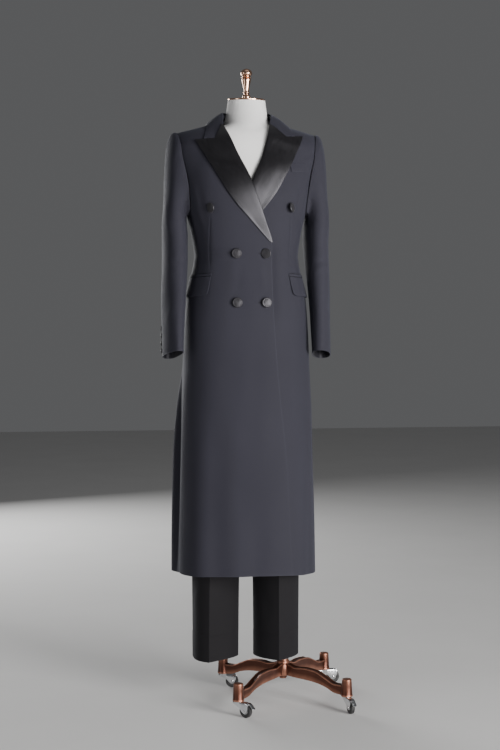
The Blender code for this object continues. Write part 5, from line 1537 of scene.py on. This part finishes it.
# --- Base and castors ---
HUB = (
    (0.059, 0.0085), (0.06, 0.01), (0.063, 0.011), (HUB_BOTTOM, 0.0112), (HUB_BOTTOM, 0.0158),
    (0.0685, 0.018), (0.072, 0.02), (0.086, 0.0198), (0.099, 0.0192), (0.1005, 0.0184),
    (0.102, 0.0183), (0.105, 0.0184), (0.108, 0.0174), (0.1105, 0.016), (HUB_TOP, 0.015),
)
BOSS = (
    (BOSS_BOTTOM, 0.0152), (BOSS_BOTTOM + 0.0008, 0.016), (0.045, 0.016), (0.0462, 0.0154), (0.07, 0.0141),
    (0.085, 0.0133), (BOSS_TOP - 0.0018, 0.013), (BOSS_TOP - 0.0006, 0.0123), (BOSS_TOP, 0.0112),
)
POLE_LOW = HUB_TOP + SEAM
POLE_HIGH = FORM_BOTTOM - FORM_SINK - SEAM
POLE = (
    (POLE_LOW, 0.0119), (POLE_LOW + 0.0008, POLE_RADIUS), (0.4, POLE_RADIUS), (0.7, POLE_RADIUS),
    (POLE_HIGH - 0.0008, POLE_RADIUS), (POLE_HIGH, 0.0119),
)
PAD = ((0.038, 0.0119), (0.0384, 0.0125), (0.0402, 0.0125), (0.0407, 0.0119))
HALF = WHEEL_WIDTH / 2
HALF_TREAD = (
    (HALF - 0.0012, 0.009), (HALF, 0.011), (HALF, 0.0163), (HALF - 0.0006, 0.0176), (HALF - 0.0018, 0.0184),
    (HALF - 0.003, WHEEL_RADIUS),
)
TREAD = (*[(-y, r) for y, r in HALF_TREAD], *reversed(HALF_TREAD))
WHEEL_CAP = (
    (HALF - 0.0011, 0.0088), (HALF - 0.0002, 0.0086), (HALF + 0.0002, 0.0072), (HALF - 0.0004, 0.006),
    (HALF - 0.0004, 0.0034), (HALF + 0.0002, 0.0028), (HALF + 0.0004, 0.0012),
)
AXLE_HEAD = (
    (FORK_HALF - 0.0004, 0.0034), (FORK_HALF + 0.0004, 0.0032), (FORK_HALF + 0.001, 0.0022),
    (FORK_HALF + 0.0012, 0.0008),
)
PEDAL_RING = ((-1, -0.7), (-0.94, -1), (0.94, -1), (1, -0.7), (1, 0.7), (0.94, 1), (-0.94, 1), (-1, 0.7))
HUB_PLACE = Matrix.Translation((HUB_X, HUB_Y, 0.0))


def about_z(degrees):
    return Matrix.Rotation(math.radians(degrees), 4, "Z")


def arm_outline(share):
    """Section of an arm across its run: a web between two rounded ridges, a shallow channel on top."""
    top, bottom = row_at(ARM, share, "share")
    half = (
        (0.0062, bottom), (0.007, bottom + 0.001), (0.007, top - 0.006), (0.0078, top - 0.0044),
        (0.0094, top - 0.0036), (0.01, top - 0.0024), (0.0099, top - 0.001), (0.0091, top - 0.0001),
        (0.008, top), (0.0068, top - 0.0004), (0.0058, top - 0.0013), (0.0042, top - 0.0018),
    )
    return [*half, *[(-y, z) for y, z in reversed(half)]]


def fork_outline(x):
    cheek, under, top = row_at(FORK, x, "x")
    half = (
        (0.0, under), (FORK_SLOT - 0.0008, under), (FORK_SLOT, under - 0.0006), (FORK_SLOT, cheek + 0.0004),
        (FORK_SLOT + 0.0005, cheek), (FORK_HALF - 0.0005, cheek), (FORK_HALF, cheek + 0.0005),
        (FORK_HALF, top - 0.002), (FORK_HALF - 0.0004, top - 0.0009), (FORK_HALF - 0.0013, top - 0.0002),
        (FORK_HALF - 0.0026, top), (0.0, top),
    )
    return [*half, *[(-y, z) for y, z in reversed(half[1:-1])]]


def build_base():
    base = turned("stand_base", HUB, 56, COPPER, 32.0, HUB_PLACE)
    others = []
    for name, heading in ARM_HEADINGS.items():
        place = HUB_PLACE @ about_z(heading)
        rings = [[Vector((s * ARM_REACH, y, z)) for y, z in arm_outline(s)] for s in steps(0.0, 0.96, 30)]
        others.append(solid_of_rings("arm_" + name, rings, COPPER, 32.0, place=place))
        place = place @ Matrix.Translation((ARM_REACH, 0.0, 0.0))
        others.append(turned("boss_" + name, BOSS, 40, COPPER, 35.0, place, first=0.5))
    union_into(base, others)
    stand_in(base, "copper", "stand_base")
    stand_in(turned("pole", POLE, 48, CHROME, 30.0, HUB_PLACE), "chrome", "pole")


def build_pedal(name, place):
    line = along_curve([(x, 0.0, z) for x, z in PEDAL_LINE], 6)
    rings = []
    for i, point in enumerate(line):
        run = line[min(i + 1, len(line) - 1)] - line[max(i - 1, 0)]
        up = Vector((-run.z, 0.0, run.x)).normalized() * PEDAL_SHEET
        part = i / (len(line) - 1)
        wide = PEDAL_HALF * (1.0 - 0.35 * smooth_step(part, 0.86, 1.0)) * (0.86 + 0.14 * part)
        rib = 0.105 * math.sin(part * 40.0) * smooth_step(part, 0.55, 0.65)
        rings.append([
            point + Vector((0, y * wide, 0)) + up * (h + (rib if h == 1 else 0.0)) for y, h in PEDAL_RING
        ])
    pedal = solid_of_rings("castor_pedal_" + name, rings, CHROME, 40.0, "pedal_" + name, place)
    stand_in(pedal, "chrome", "castor_pedal_" + name)


def build_castors():
    for name, heading in CASTOR_HEADINGS.items():
        boss = HUB_PLACE @ about_z(ARM_HEADINGS[name]) @ Vector((ARM_REACH, 0.0, 0.0))
        place = Matrix.Translation(boss) @ about_z(heading)
        rings = [[Vector((x, y, z)) for y, z in fork_outline(x)] for x in steps(FORK[0].x, FORK[-1].x, 26)]
        fork = solid_of_rings("castor_fork_" + name, rings, CHROME, 32.0, "castor_" + name, place)
        union_into(fork, [turned("pad", PAD, 40, CHROME, 32.0, place, first=0.5)])
        stand_in(fork, "chrome", "castor_fork_" + name)
        axle = place @ Matrix.Translation((TRAIL, 0.0, WHEEL_RADIUS)) @ Matrix.Rotation(math.pi / 2, 4, "X")
        wheel = turned("castor_wheel_" + name, TREAD, 72, RUBBER, 40.0, axle, "wheel_" + name)
        stand_in(wheel, "rubber", "castor_wheel_" + name)
        for word, way in (("in", -1.0), ("out", 1.0)):
            for stem, profile, segments, body in (
                ("wheel_cap", WHEEL_CAP, 40, "wheel_"), ("axle_head", AXLE_HEAD, 24, "castor_"),
            ):
                rows = [(way * y, r) for y, r in profile]
                piece = turned("%s_%s_%s" % (stem, word, name), rows, segments, CHROME, 32.0, axle, body + name)
                stand_in(piece, "chrome")
        if name in BRAKED:
            build_pedal(name, place)


# --- Studio ---
CAMERA_PLACE = (-0.545, -3.962, 1.094)
CAMERA_HEADING = -8.0
CAMERA_LENS = 67.7
CAMERA_SHIFT = -0.0853
LAMP_TARGET = Vector((0.0, 0.0, 0.95))
LAMPS = table(
    "name place power wide high colour",
    ("key", (2.4, -3.05, 1.2), 225.0, 1.5, 2.2, (1.0, 0.99, 0.985)),
    ("front", (1.05, -4.5, 1.05), 80.0, 1.0, 1.0, (1.0, 0.99, 0.99)),
    ("fill", (-3.0, -1.2, 1.3), 15.0, 1.0, 2.2, (0.97, 0.98, 1.0)),
    ("back", (-1.6, 3.6, 1.7), 120.0, 2.0, 2.0, (1.0, 1.0, 1.0)),
    ("top", (0.2, -0.6, 3.9), 4.0, 1.8, 1.8, (1.0, 1.0, 1.0)),
)
WORLD_COLOUR = (0.8, 0.81, 0.83, 1.0)
WORLD_STRENGTH = 0.13
FLOOR_HALF = 9


def build_studio():
    camera = bpy.data.objects.new("camera", bpy.data.cameras.new("camera"))
    camera.location = Vector(CAMERA_PLACE) + SHIFT
    camera.rotation_euler = (math.pi / 2, 0.0, math.radians(CAMERA_HEADING))
    camera.data.lens = CAMERA_LENS
    camera.data.shift_y = CAMERA_SHIFT
    bpy.context.scene.collection.objects.link(camera)
    bpy.context.scene.camera = camera

    mesh = bpy.data.meshes.new("floor")
    corners = [(x * FLOOR_HALF, y * FLOOR_HALF, 0) for x, y in ((-1, -1), (1, -1), (1, 1), (-1, 1))]
    mesh.from_pydata(corners, [], [(0, 1, 2, 3)])
    mesh.materials.append(pale_floor())
    floor = bpy.data.objects.new("floor", mesh)
    bpy.context.scene.collection.objects.link(floor)

    for lamp in LAMPS:
        light = bpy.data.lights.new(lamp.name, "AREA")
        light.shape = "RECTANGLE"
        light.size = lamp.wide
        light.size_y = lamp.high
        light.energy = lamp.power
        light.color = lamp.colour
        made = bpy.data.objects.new(lamp.name, light)
        made.location = lamp.place
        made.rotation_euler = (LAMP_TARGET - made.location).to_track_quat("-Z", "Y").to_euler()
        bpy.context.scene.collection.objects.link(made)
    world = bpy.data.worlds.new("studio")
    world.use_nodes = True
    background = world.node_tree.nodes["Background"].inputs
    background["Color"].default_value = WORLD_COLOUR
    background["Strength"].default_value = WORLD_STRENGTH
    bpy.context.scene.world = world


build_coat()
for side, word in SIDES:
    build_lapel(word, side)
build_collar()
build_sleeves()
build_buttons()
build_buttonholes()
build_pockets()
build_trousers()
build_form()
build_base()
build_castors()
build_studio()
